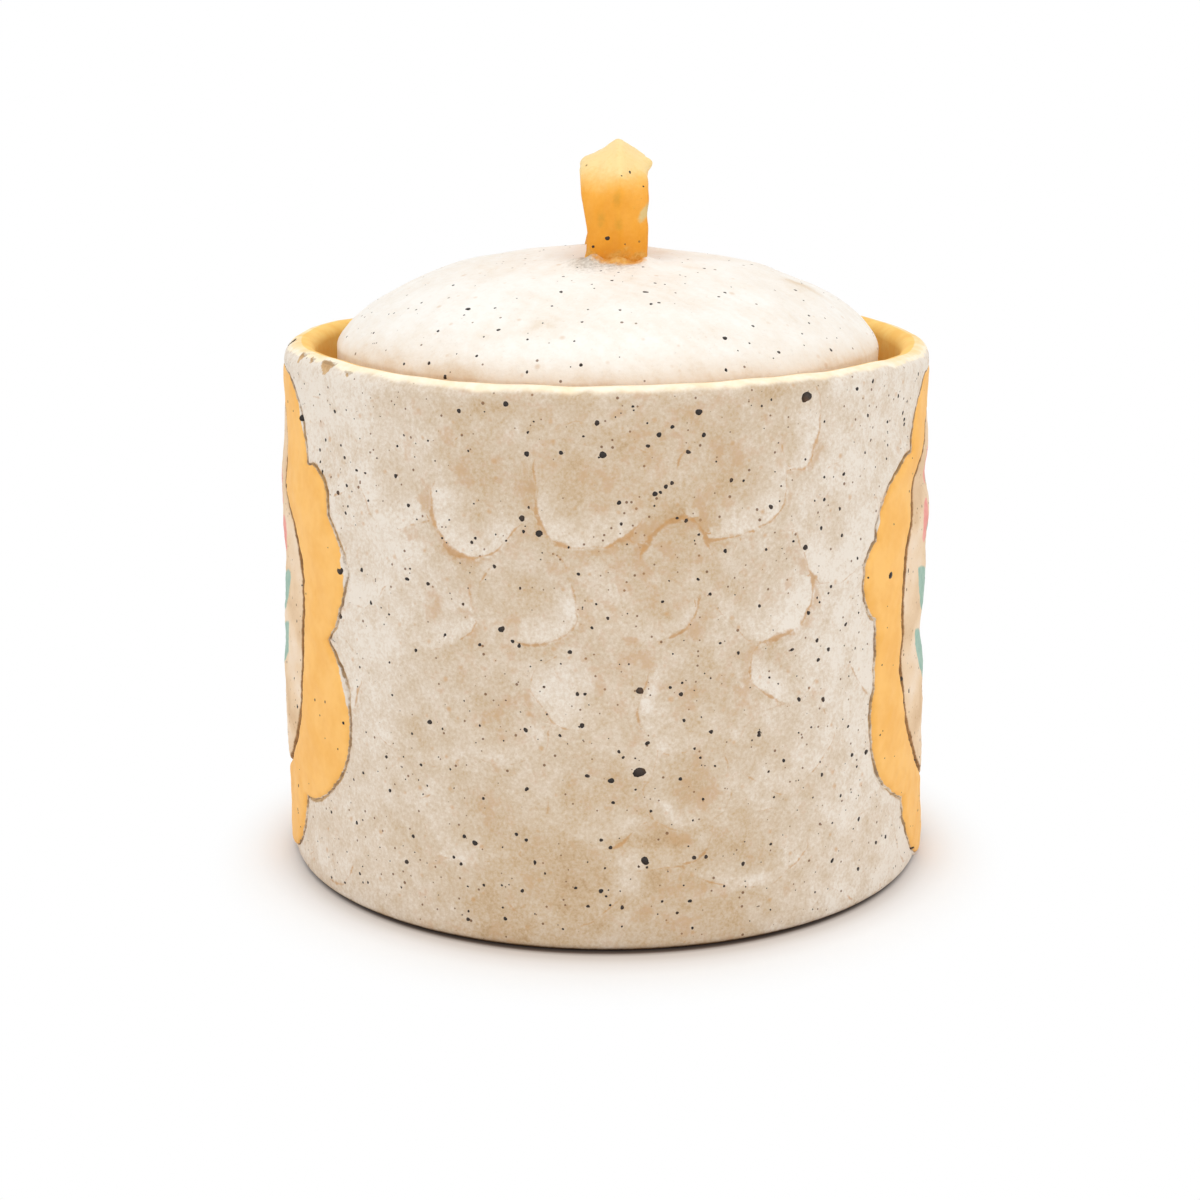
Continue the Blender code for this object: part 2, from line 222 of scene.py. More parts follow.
@dataclass(frozen=True)
class Finish:
    """A clay surface: a ground that runs through a few tones, layers over it, and specks.

    Attributes:
        name: what the material really is.
        ground: colours by the vertex attribute "tone", from 0 to 1.
        layers: colours laid over the ground in order.
        roughness: of the whole surface.
        shine: specular level of the whole surface.
        tooth: size of its fine unevenness in millimetres.
        tooth_depth: height of that unevenness in millimetres.
        grains: sizes in millimetres of the noises that break up the ground, and how far they move its tone.
        freckles: its fine specks.
    """

    name: str
    ground: tuple[tuple[float, str], ...]
    layers: tuple[Layer, ...] = ()
    roughness: float = 0.6
    shine: float = 0.25
    tooth: float = 0.7
    tooth_depth: float = 0.03
    grains: tuple[tuple[float, float], ...] = ((0.9, 0.3),)
    freckles: tuple[Freckles, ...] = (Freckles(),)

    def material(self) -> bpy.types.Material:
        """Makes the material, or finds it where it is already made.

        Returns:
            The material.
        """
        if self.name in bpy.data.materials:
            return bpy.data.materials[self.name]
        made = bpy.data.materials.new(self.name)
        made.use_nodes = True
        tree = made.node_tree
        shader = tree.nodes["Principled BSDF"]
        shader.inputs["Roughness"].default_value = self.roughness
        shader.inputs["Specular IOR Level"].default_value = self.shine
        place = add_node(tree, "ShaderNodeTexCoord").outputs["Object"]
        sizes = {self.tooth, *(size for size, _ in self.grains)}
        for layer in self.layers:
            sizes |= {layer.grain, layer.mottle}
        noises = {
            size: add_node(
                tree, "ShaderNodeTexNoise",
                {"Vector": place, "Scale": 1 / (size * MM), "Detail": 3.0, "Roughness": 0.68},
            ).outputs["Fac"]
            for size in sorted(sizes)
        }
        tone = add_node(tree, "ShaderNodeAttribute", attribute_name="tone").outputs["Fac"]
        for size, share in self.grains:
            tone = add_node(
                tree, "ShaderNodeMath", {0: noises[size], 1: share, 2: tone}, operation="MULTIPLY_ADD"
            ).outputs[0]
        shift = sum(share for _, share in self.grains) / 2
        tone = add_node(
            tree, "ShaderNodeMapRange", {"Value": tone, "From Min": shift, "From Max": 1 + shift}
        ).outputs[0]
        colour = add_node(tree, "ShaderNodeValToRGB", {"Fac": tone}, self.ground).outputs["Color"]
        for freckles in self.freckles:
            colour = self.specked(tree, freckles, colour, place)
        for layer in self.layers:
            colour = self.laid(tree, layer, colour, noises)
        tree.links.new(colour, shader.inputs["Base Color"])
        bump = add_node(
            tree, "ShaderNodeBump", {"Height": noises[self.tooth], "Distance": self.tooth_depth * MM}
        )
        tree.links.new(bump.outputs["Normal"], shader.inputs["Normal"])
        return made

    def laid(self, tree: bpy.types.NodeTree, layer: Layer, under: bpy.types.NodeSocket,
             noises: dict[float, bpy.types.NodeSocket]) -> bpy.types.NodeSocket:
        """Lays one layer over the colours so far.

        Args:
            tree: the material's nodes.
            layer: what to lay.
            under: colour so far.
            noises: noise by its size.

        Returns:
            The colour with the layer on it.
        """
        past = add_node(tree, "ShaderNodeAttribute", attribute_name=layer.measure).outputs["Fac"]
        if layer.line:
            off = add_node(tree, "ShaderNodeMath", {0: past}, operation="ABSOLUTE").outputs[0]
            half = add_node(tree, "ShaderNodeAttribute", attribute_name=layer.line).outputs["Fac"]
            past = add_node(tree, "ShaderNodeMath", {0: half, 1: off}, operation="SUBTRACT").outputs[0]
        moved = add_node(
            tree, "ShaderNodeMath", {0: noises[layer.grain], 1: layer.ragged, 2: past},
            operation="MULTIPLY_ADD",
        ).outputs[0]
        middle = layer.edge + layer.ragged / 2
        limits = {"From Min": middle - layer.blur / 2, "From Max": middle + layer.blur / 2}
        mask = add_node(
            tree, "ShaderNodeMapRange", {"Value": moved, "To Max": layer.strength, **limits},
            interpolation_type="SMOOTHSTEP",
        ).outputs[0]
        paint = add_node(
            tree, "ShaderNodeValToRGB", {"Fac": noises[layer.mottle]},
            ((0.38, layer.shade), (0.62, layer.colour)),
        ).outputs["Color"]
        return add_node(tree, "ShaderNodeMix", {0: mask, 6: under, 7: paint}, data_type="RGBA").outputs[2]

    def specked(self, tree: bpy.types.NodeTree, freckles: Freckles, under: bpy.types.NodeSocket,
                place: bpy.types.NodeSocket) -> bpy.types.NodeSocket:
        """Scatters fine specks over the colours so far.

        Args:
            tree: the material's nodes.
            freckles: what to scatter.
            under: colour so far.
            place: coordinates on the piece.

        Returns:
            The colour with the specks on it.
        """
        cells = add_node(
            tree, "ShaderNodeTexVoronoi", {"Vector": place, "Scale": 1 / (freckles.spacing * MM)}
        ).outputs
        past_edge = add_node(
            tree, "ShaderNodeMath", {0: cells["Color"], 1: -freckles.size, 2: cells["Distance"]},
            operation="MULTIPLY_ADD",
        ).outputs[0]
        limits = {"From Min": 0.0, "From Max": -freckles.blur, "To Max": freckles.strength}
        mask = add_node(tree, "ShaderNodeMapRange", {"Value": past_edge, **limits}).outputs[0]
        colour = linear_rgb(freckles.colour)
        return add_node(tree, "ShaderNodeMix", {0: mask, 6: under, 7: colour}, data_type="RGBA").outputs[2]


# Bared clay along press edges: thin sandy lines where the slip is wiped through
SCAR = Layer(
    "gap", "#c9965a", "#bd8b51", blur=0.42, ragged=0.9, grain=0.9, mottle=2.6, strength=0.72, line="wipe"
)
# Slip rubbed thin: soft orange-tan blotches of the clay below
RUBBED = Layer(
    "thin", "#bf8e58", "#caa070", edge=0.22, blur=0.55, ragged=2.4, grain=2.6, mottle=1.0, strength=0.5
)
# Thin yellow on the lip, wiped pale and lightened nearly to white as a painted highlight, and thicker and
# golden inside the jar
LIP_YELLOW_AND_HIGHLIGHT = Layer("glaze", "#fff5e0", "#feebc8", blur=0.7, ragged=0.3, grain=1.6)
INSIDE_YELLOW = Layer("glaze", "#ffd277", "#fcc562", edge=2.6, blur=2.2, ragged=0.8, grain=3.0)
# Wiped foot: a thin line of bare brown clay at the table, darkened further as painted contact shade
FOOT_CLAY_AND_SHADE = Layer("foot", "#8a6844", "#6f5236", blur=0.4, ragged=0.4, grain=1.5)
# Chipped lip: the tan body of the clay shows, and its broken upper edge is darker
CHIP = Layer("chip", "#d9b78a", "#c39c6e", blur=0.15, ragged=1.3, grain=1.4, mottle=0.8)
CHIP_RIM = Layer("rim", "#6d5236", "#8a6a47", blur=0.2, ragged=0.6, grain=0.8, mottle=0.8, strength=0.4)
# Thin slip tones from bare tan through to pooled white, shared by the wall and the frames' outer edges
SLIP_TONES = ((0.0, "#be9e78"), (0.25, "#cdb494"), (0.5, "#d6c3ab"), (0.75, "#e1d2c0"), (1.0, "#ece2d5"))
# Iron freckles of the clay: fine brown dots, and soft orange spots of bleeding rust
WALL_FRECKLES = (
    Freckles("#b98a58", 0.75, 0.3, 0.2, 0.3),
    Freckles("#cb985c", 2.2, 0.28, 0.16, 0.5),
    Freckles("#704b2f", 1.4, 0.2, 0.04, 0.85),
)
SLIP_GRAINS = ((0.5, 0.72), (1.0, 0.52), (2.6, 0.6))
# White slip brushed thin over tan clay: tan shows through in blotches, whiter where it pooled along the
# presses' lower edges and as a painted highlight there, whiter towards the sides partly as painted light, and
# darker towards the foot as painted shade
WALL_SLIP = Finish(
    "white_slip_brushed_over_speckled_clay", SLIP_TONES,
    (RUBBED, SCAR, LIP_YELLOW_AND_HIGHLIGHT, INSIDE_YELLOW, CHIP, CHIP_RIM, FOOT_CLAY_AND_SHADE),
    roughness=0.62, grains=SLIP_GRAINS, freckles=WALL_FRECKLES,
)
# Golden underglaze inside a carved line that bares brown sandy clay, with a dark line along the cut that is
# partly darker clay and partly painted shadow of its undercut
FRAME_YELLOW = Finish(
    "golden_underglaze_with_carved_edge", SLIP_TONES,
    (
        RUBBED, SCAR,
        Layer("paint", "#fec56f", "#f8ba5f", blur=0.12, ragged=0.25, grain=0.9, mottle=6.0),
        Layer("groove", "#d3b486", "#ba976a", blur=0.2, ragged=0.3, grain=0.6, mottle=0.8, strength=0.95),
        Layer("cut_and_shadow", "#a88350", "#7d5d3a", blur=0.12, ragged=0.3, grain=1.1, mottle=1.2, strength=0.85),
    ),
    roughness=0.52, grains=SLIP_GRAINS, freckles=WALL_FRECKLES,
)
# Bare sandy clay of the panels: coarse, pitted, darker in the carved line, with soft matt brushwork
PANEL_CLAY = Finish(
    "bare_sandy_clay", ((0.0, "#dfbe98"), (0.5, "#eed2b0"), (1.0, "#f5e0c8")),
    (
        Layer("leaf", "#8fb9ab", "#a5c5b8", blur=0.5, ragged=0.8, grain=1.0, mottle=1.6, strength=0.92),
        Layer("berry", "#ee918b", "#f3a9a1", blur=0.5, ragged=0.8, grain=1.0, mottle=1.6, strength=0.92),
        Layer("groove", "#a97e50", "#86633f", blur=0.4, ragged=0.6, grain=0.7, mottle=1.1),
    ),
    roughness=0.85, tooth=0.45, tooth_depth=0.09, grains=((0.6, 0.5),),
    freckles=(Freckles("#7d5b3e", 1.4, 0.2), Freckles("#c0905c", 1.1, 0.25, 0.1, 0.6)),
)
# Thicker white slip of the lid, beige towards its lower edge, grey and stained yellow round the strap's feet
LID_SLIP = Finish(
    "thick_white_slip_on_lid", ((0.0, "#d6ba96"), (0.35, "#e6d5bf"), (0.65, "#f1e8dc"), (1.0, "#f7f3ec")),
    (
        Layer(
            "smudge", "#c6baa9", "#87735b",
            edge=0.5, blur=0.9, ragged=1.3, grain=0.6, mottle=0.5, strength=0.75,
        ),
        Layer("bare", "#dcb98f", "#cfa87c", edge=0.5, blur=0.3, ragged=0.3, grain=1.5),
        Layer("spill", "#df9730", "#e9b35c", blur=1.3, ragged=1.8, grain=0.7, mottle=0.6, strength=0.95),
    ),
    roughness=0.6, tooth=0.9, tooth_depth=0.06, grains=((0.5, 0.3), (1.3, 0.42)),
    freckles=(Freckles("#cfa778", 3.0, 0.22, 0.12, 0.4), Freckles("#75573d", 2.4, 0.14)),
)
# Yellow of the strap: pale on top where it was rubbed and as a painted highlight, orange in front, darkening
# towards the feet as painted shade, with faint olive stains, a scrape of grey slip, and thinning out to the
# lid's slip at its feet
STRAP_YELLOW = Finish(
    "golden_underglaze_on_pinched_strap",
    ((0.0, "#d9861c"), (0.3, "#eb9b28"), (0.55, "#f5ac3e"), (0.78, "#f9c269"), (1.0, "#f8da98")),
    (
        Layer(
            "stain", "#a3852c", "#c3922f",
            edge=0.6, blur=0.9, ragged=0.9, grain=0.8, mottle=1.0, strength=0.28,
        ),
        Layer("scrape", "#dcc88f", "#d3b878", blur=0.45, ragged=0.6, grain=0.7, strength=0.85),
        Layer(
            "smudge", "#e6b45f", "#cf9038",
            edge=0.5, blur=0.9, ragged=1.4, grain=0.6, mottle=0.5, strength=0.75,
        ),
    ),
    roughness=0.5, grains=((0.7, 0.26),), freckles=(Freckles("#8a6232", 2.8, 0.12),),
)
# Plain yellow of the ledge inside the mouth
LEDGE_YELLOW = Finish(
    "golden_underglaze_inside", ((0.0, "#e0a044"), (0.5, "#f3b75a"), (1.0, "#fac878")), roughness=0.5
)
# Iron that melts out of the clay in firing: nearly black, some rusty
IRON = Finish(
    "iron_specks", ((0.0, "#2e2927"), (0.6, "#40352e"), (1.0, "#6a4d36")), roughness=0.5, tooth_depth=0.0,
    freckles=(),
)


def start_piece(name: str, add: object, **settings: object) -> bpy.types.Object:
    """Adds a primitive with nothing else selected.

    Args:
        name: name of the piece.
        add: operator that adds the primitive.
        **settings: the operator's settings.

    Returns:
        The new object.
    """
    bpy.ops.object.select_all(action="DESELECT")
    add(**settings)
    piece = bpy.context.object
    piece.name = name
    piece.data.name = name
    return piece


def close_up(piece: bpy.types.Object) -> None:
    """Welds touching points, fills open ends and turns all faces outwards."""
    bpy.context.view_layer.objects.active = piece
    bpy.ops.object.mode_set(mode="EDIT")
    bpy.ops.mesh.select_all(action="SELECT")
    bpy.ops.mesh.remove_doubles(threshold=WELD)
    bpy.ops.mesh.delete_loose()
    bpy.ops.mesh.select_all(action="SELECT")
    bpy.ops.mesh.fill_holes(sides=0)
    bpy.ops.mesh.select_all(action="SELECT")
    bpy.ops.mesh.normals_make_consistent(inside=False)
    bpy.ops.object.mode_set(mode="OBJECT")


def get_points(piece: bpy.types.Object) -> np.ndarray:
    """Reads the piece's vertices as rows of x, y, z in millimetres."""
    flat = np.empty(len(piece.data.vertices) * 3)
    piece.data.vertices.foreach_get("co", flat)
    return flat.reshape(-1, 3) / MM


def set_points(piece: bpy.types.Object, points: np.ndarray) -> None:
    """Moves the piece's vertices to rows of x, y, z in millimetres."""
    piece.data.vertices.foreach_set("co", (points * MM).ravel())
    piece.data.update()


def wrapped(name: str, points: np.ndarray) -> tuple[bpy.types.Object, np.ndarray]:
    """Lays a grid on rows of points.

    Args:
        name: name of the piece.
        points: array of rows, columns and x, y, z in millimetres.

    Returns:
        The piece, and for each of its vertices the place in the flattened array that it came from.
    """
    rows, columns = points.shape[:2]
    piece = start_piece(
        name, bpy.ops.mesh.primitive_grid_add, x_subdivisions=columns - 1, y_subdivisions=rows - 1
    )
    source = piece.data.attributes.new("source", "INT", "POINT")
    source.data.foreach_set("value", np.arange(rows * columns, dtype=np.int32))
    set_points(piece, points.reshape(-1, 3))
    close_up(piece)
    kept = np.empty(len(piece.data.vertices), dtype=np.int32)
    piece.data.attributes["source"].data.foreach_get("value", kept)
    piece.data.attributes.remove(piece.data.attributes["source"])
    return piece, kept


def turned(name: str, profile: list[tuple[float, float]], steps: int) -> bpy.types.Object:
    """Turns a profile round the Z axis.

    Args:
        name: name of the piece.
        profile: radius and height of each point in millimetres, in order.
        steps: faces round the axis.

    Returns:
        The turned piece.
    """
    closed = profile if profile[0][0] == 0 else [*profile, profile[0]]
    radius, height = np.array(closed).T[:, :, None]
    turn = np.linspace(0, TAU, steps + 1)
    points = np.stack((radius * np.cos(turn), radius * np.sin(turn), height + 0 * turn), axis=2)
    return wrapped(name, points)[0]


def measure(piece: bpy.types.Object, **fields: np.ndarray) -> None:
    """Stores measures of the surface, one value a vertex, for its finish to read."""
    for name, values in fields.items():
        layer = piece.data.attributes.new(name, "FLOAT", "POINT")
        layer.data.foreach_set("value", np.asarray(values, dtype=np.float32))


def dress(piece: bpy.types.Object, body: Body, slot: Slot, finish: Finish, *nodes: str) -> None:
    """Gives a piece its finish, hangs it from its body's empty and hides the solids it stands for.

    Args:
        piece: what to dress.
        body: body that it moves with.
        slot: record's slot that its finish belongs to; not used.
        finish: its surface.
        *nodes: solids that it stands for.
    """
    piece.data.shade_smooth()
    piece.data.materials.clear()
    piece.data.materials.append(finish.material())
    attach(piece, body.value)
    if nodes:
        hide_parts(*nodes)
    log.info("%s: %d vertices on %s", piece.name, len(piece.data.vertices), body.value)


@dataclass(frozen=True)
class ThumbPress:
    """A thumb's press in the soft wall, sharp along one edge and easing out at the other.

    Attributes:
        angle: degrees round from the front, to the right.
        height: of its middle in millimetres.
        half_width: in millimetres.
        half_height: in millimetres.
        edge: direction of its sharp edge, degrees anticlockwise from the right.
        depth: in millimetres.
        scar: how far its sharp edge is wiped bare; a low one also has a softer edge.
        lean: how far its bottom lies to the left of its top, as a share of its half width.
    """

    angle: float
    height: float
    half_width: float
    half_height: float
    edge: float = -90.0
    depth: float = 0.75
    scar: float = 0.8
    lean: float = 0.0


# Presses on the front, older ones first: a newer press wipes out what it covers
FRONT_PRESSES = tuple(ThumbPress(*row) for row in (
    (-7.7, 9.3, 8.6, 5.4, -85, 0.3, 0.2), (24.0, 13.8, 9.8, 5.5, -90, 0.35, 0.35),
    (-23.0, 18.5, 8.0, 6.6, -90, 0.3, 0.2), (8.0, 18.0, 8.0, 6.0, -70, 0.3, 0.25),
    (-1.3, 22.9, 7.8, 7.0, -80, 0.35, 0.3), (31.0, 28.5, 8.2, 6.4, -60, 0.35, 0.35),
    (13.3, 24.6, 6.2, 6.8, 225, 0.4, 0.35), (-32.0, 32.0, 8.7, 6.6, -100, 0.35, 0.25),
    (-17.6, 33.8, 7.8, 6.5, -60, 0.4, 0.25), (-3.6, 38.9, 7.0, 6.4, 190, 0.4, 0.35),
    (13.2, 36.3, 7.4, 6.8, 205, 0.45, 0.4), (31.0, 40.4, 6.3, 5.2, 180, 0.5, 0.6),
    (-30.2, 49.2, 7.0, 6.5, -25, 0.55, 0.5), (7.4, 53.0, 7.0, 7.2, -55, 0.4, 0.35),
    (-13.0, 51.4, 7.3, 6.7, -30, 0.5, 0.6), (26.6, 52.7, 8.2, 8.0, -30, 0.65, 0.85),
    (41.0, 60.0, 8.0, 8.7, -100, 0.4, 0.3), (28.0, 75.4, 7.1, 8.0, -35, 0.45, 0.45),
    (-36.1, 68.1, 8.2, 9.0, -115, 0.6, 0.4), (20.2, 68.3, 8.4, 9.0, -75, 0.65, 0.6),
    (-19.7, 66.2, 8.2, 9.2, -110, 0.65, 0.95, 0.3), (-2.4, 67.5, 8.5, 8.5, -112, 0.7, 0.85),
    (11.0, 57.0, 4.9, 5.8, 100, 0.3, 0.95),
))


class Dab(NamedTuple):
    """A dab of thicker slip, or of worn slip where its white is negative.

    Attributes:
        angle: degrees round from the front, to the right.
        height: of its middle in millimetres.
        half_across: in millimetres.
        half_up: in millimetres.
        slant: degrees anticlockwise.
        white: how much whiter the slip is.
    """

    angle: float
    height: float
    half_across: float
    half_up: float
    slant: float
    white: float


# Brush strokes and dabs low on the front, where the presses are faint
SLIP_DABS = tuple(Dab(*row) for row in (
    (-6.7, 39.7, 3.5, 3.6, 0, 0.2), (7.5, 39.5, 0.8, 3.2, -20, 0.22), (6.2, 36.5, 0.8, 1.8, 30, 0.2),
    (-1.2, 20.1, 3.6, 2.5, 0, 0.18), (10.2, 20.7, 0.8, 2.4, 35, 0.25), (18.8, 22.8, 2.3, 3.6, 0, 0.18),
    (25.6, 22.3, 2.3, 3.4, 0, 0.16), (3.4, 10.5, 2.4, 2.0, 0, 0.22), (21.3, 8.7, 8.2, 0.9, 5, 0.22),
    (-24.2, 12.3, 4.0, 0.5, 0, 0.2), (-29.7, 20.5, 3.4, 3.9, 0, 0.08), (-0.5, 37.5, 1.9, 2.6, 0, -0.14),
    (-20.3, 32.5, 1.5, 1.8, 0, -0.14), (-6.4, 23.5, 1.3, 3.2, 0, -0.14), (5.2, 16.6, 5.6, 0.9, -3, -0.16),
    (7.7, 11.6, 1.4, 2.7, 0, -0.18), (31.6, 12.6, 5.4, 0.8, 0, -0.1), (66.0, 4.5, 9.0, 5.5, 0, 0.28),
))


class Chip(NamedTuple):
    """A three-cornered chip at the lip, pointing down: angle in degrees, and sizes in millimetres."""

    angle: float
    top: float
    half_width: float
    height: float
    depth: float


LIP_CHIPS = tuple(Chip(*row) for row in (
    (-67.0, 80.3, 1.5, 1.5, 0.4), (-61.3, 80.2, 0.8, 1.0, 0.2), (-55.0, 80.3, 2.1, 2.0, 0.5),
    (-48.2, 79.9, 1.0, 0.7, 0.2),
))


@dataclass(frozen=True)
class Outline:
    """A scalloped outline on the wall: arcs between cusps, the same on both halves.

    Attributes:
        cusps: distance round the wall from the middle, and height, from top to bottom.
        bulges: how far the arc after each cusp stands out from its chord.
        centre: height of the point that its rays start from.
    """

    cusps: tuple[tuple[float, float], ...]
    bulges: tuple[float, ...]
    centre: float = 41.0

    def half(self) -> np.ndarray:
        """Finely spaced points from the top to the bottom of one half.

        Returns:
            Rows of distance round the wall and height.
        """
        points = []
        for start, end, bulge in zip(self.cusps, self.cusps[1:], self.bulges):
            share = np.linspace(0, 1, 80, endpoint=False)[:, None]
            chord = np.subtract(end, start)
            length = np.hypot(*chord)
            out = np.array((-chord[1], chord[0])) / length
            radius = (length ** 2 / 4 + bulge ** 2) / (2 * bulge) if bulge else 0.0
            rise = np.sqrt(np.maximum(radius ** 2 - (length * (share - 0.5)) ** 2, 0)) - (radius - bulge)
            points.append(np.array(start) + chord * share + out * (rise if bulge else 0.0))
        return np.concatenate(points + [np.array(self.cusps[-1:])])

    @cached_property
    def polar(self) -> tuple[np.ndarray, np.ndarray]:
        """Ray angles and lengths of the whole outline, by rising angle."""
        right = self.half()
        whole = np.concatenate((right, right[-2:0:-1] * (-1, 1)))
        angle = np.arctan2(whole[:, 1] - self.centre, whole[:, 0])
        reach = np.hypot(whole[:, 0], whole[:, 1] - self.centre)
        order = np.argsort(angle)
        return angle[order], reach[order]

    def even_rays(self, count: int) -> np.ndarray:
        """Angles of rays that meet the outline at even steps along it.

        Args:
            count: how many rays.

        Returns:
            Their angles, rising.
        """
        angle, reach = self.polar
        along = np.hypot(np.diff(reach), np.diff(angle) * reach[1:]).cumsum()
        return np.interp(np.linspace(0, along[-1], count, endpoint=False), along, angle[1:])

    def reach(self, angle: np.ndarray) -> np.ndarray:
        """How far the outline lies along rays at these angles, with a hand's slight wander."""
        rays, lengths = self.polar
        wander = 0.18 * np.sin(7 * angle + 1.1) + 0.12 * np.sin(17 * angle + self.cusps[1][0])
        return np.interp(angle, rays, lengths, period=TAU) + wander

    def ring(self, angle: np.ndarray) -> np.ndarray:
        """Rows of distance round the wall and height, where rays at these angles meet the outline."""
        reach = self.reach(angle)
        return np.stack((reach * np.cos(angle), self.centre + reach * np.sin(angle)), axis=1)


def outward(ring: np.ndarray, spread: int) -> np.ndarray:
    """Directions out of a closed ring that runs anticlockwise, eased round its corners.

    Args:
        ring: rows of two coordinates.
        spread: points on each side that a direction is eased over.

    Returns:
        Rows of unit directions.
    """
    along = np.roll(ring, -1, axis=0) - np.roll(ring, 1, axis=0)
    out = np.stack((along[:, 1], -along[:, 0]), axis=1)
    out /= np.linalg.norm(out, axis=1)[:, None]
    eased = sum(np.roll(out, shift, axis=0) for shift in range(-spread, spread + 1))
    return eased / np.linalg.norm(eased, axis=1)[:, None]


@dataclass(frozen=True)
class Cartouche:
    """The outlines of one side's frame and panel.

    Attributes:
        side: which side of the jar.
        frame: outer outline of the frame.
        panel: outline between frame and panel.
        sprig: size of its painted sprig, as a share of the largest.
        bare: height and half length of stretches where the yellow stops short of the carved line.
    """

    side: Side
    frame: Outline
    panel: Outline
    sprig: float
    bare: tuple[tuple[float, float], ...]

    def azimuth(self, across: np.ndarray, radius: np.ndarray) -> np.ndarray:
        """Azimuth of points at a distance round the wall from the middle, towards the back."""
        turn = across / radius
        return turn if self.side is Side.RIGHT else math.pi - turn

    def margin(self, height: np.ndarray) -> np.ndarray:
        """How far the yellow stops short of the carved line at a height, from 0 to 1."""
        return sum(smooth(long, 0.0, np.abs(height - middle)) for middle, long in self.bare)


CARTOUCHES = (
    Cartouche(
        Side.LEFT,
        Outline(
            ((0.0, 77.3), (15.5, 77.1), (24.6, 65.4), (30.7, 59.0), (30.1, 40.1), (21.4, 13.2), (0.0, 3.0)),
            (0.0, 1.8, 2.5, 4.1, 9.5, 6.2),
        ),
        Outline(
            ((0.0, 74.0), (12.6, 66.8), (13.4, 60.4), (21.8, 49.5), (18.4, 21.8), (0.0, 13.0)),
            (1.9, 0.8, 1.0, 1.6, 2.4),
        ),
        0.82,
        ((71.5, 2.4), (51.5, 3.8), (34.0, 4.2)),
    ),
    Cartouche(
        Side.RIGHT,
        Outline(
            (
                (0.0, 77.2), (14.2, 77.0), (21.6, 66.8), (33.4, 55.4),
                (33.0, 43.9), (32.8, 34.5), (22.8, 13.4), (0.0, 2.8),
            ),
            (0.0, 1.0, 2.7, 3.2, 0.5, 5.2, 7.2),
        ),
        Outline(((0.0, 71.6), (18.4, 63.6), (25.0, 40.0), (0.0, 9.9)), (2.2, 2.0, 7.9)),
        1.0,
        ((58.0, 1.5),),
    ),
)


class Relief(NamedTuple):
    """What the hand left on the wall.

    Attributes:
        out: how far it stands out.
        tone: share of white in its slip, with painted light and shade worked in.
        gap: distance past the nearest press's edge, negative inside it.
        wipe: half width of the line that is wiped bare along that edge, negative where there is none.
        thin: how much the slip is rubbed.
    """

    out: np.ndarray
    tone: np.ndarray
    gap: np.ndarray
    wipe: np.ndarray
    thin: np.ndarray


class Marks(NamedTuple):
    """What the thumb presses left on the wall.

    Attributes:
        depth: how far it is pressed in.
        gap: distance past the nearest press's edge, negative inside it.
        wipe: how far that edge is wiped bare.
        bowl: 1 in the middle of a press's hollow.
        low: 1 along the lower side of a press, and 0 above.
    """

    depth: np.ndarray
    gap: np.ndarray
    wipe: np.ndarray
    bowl: np.ndarray
    low: np.ndarray


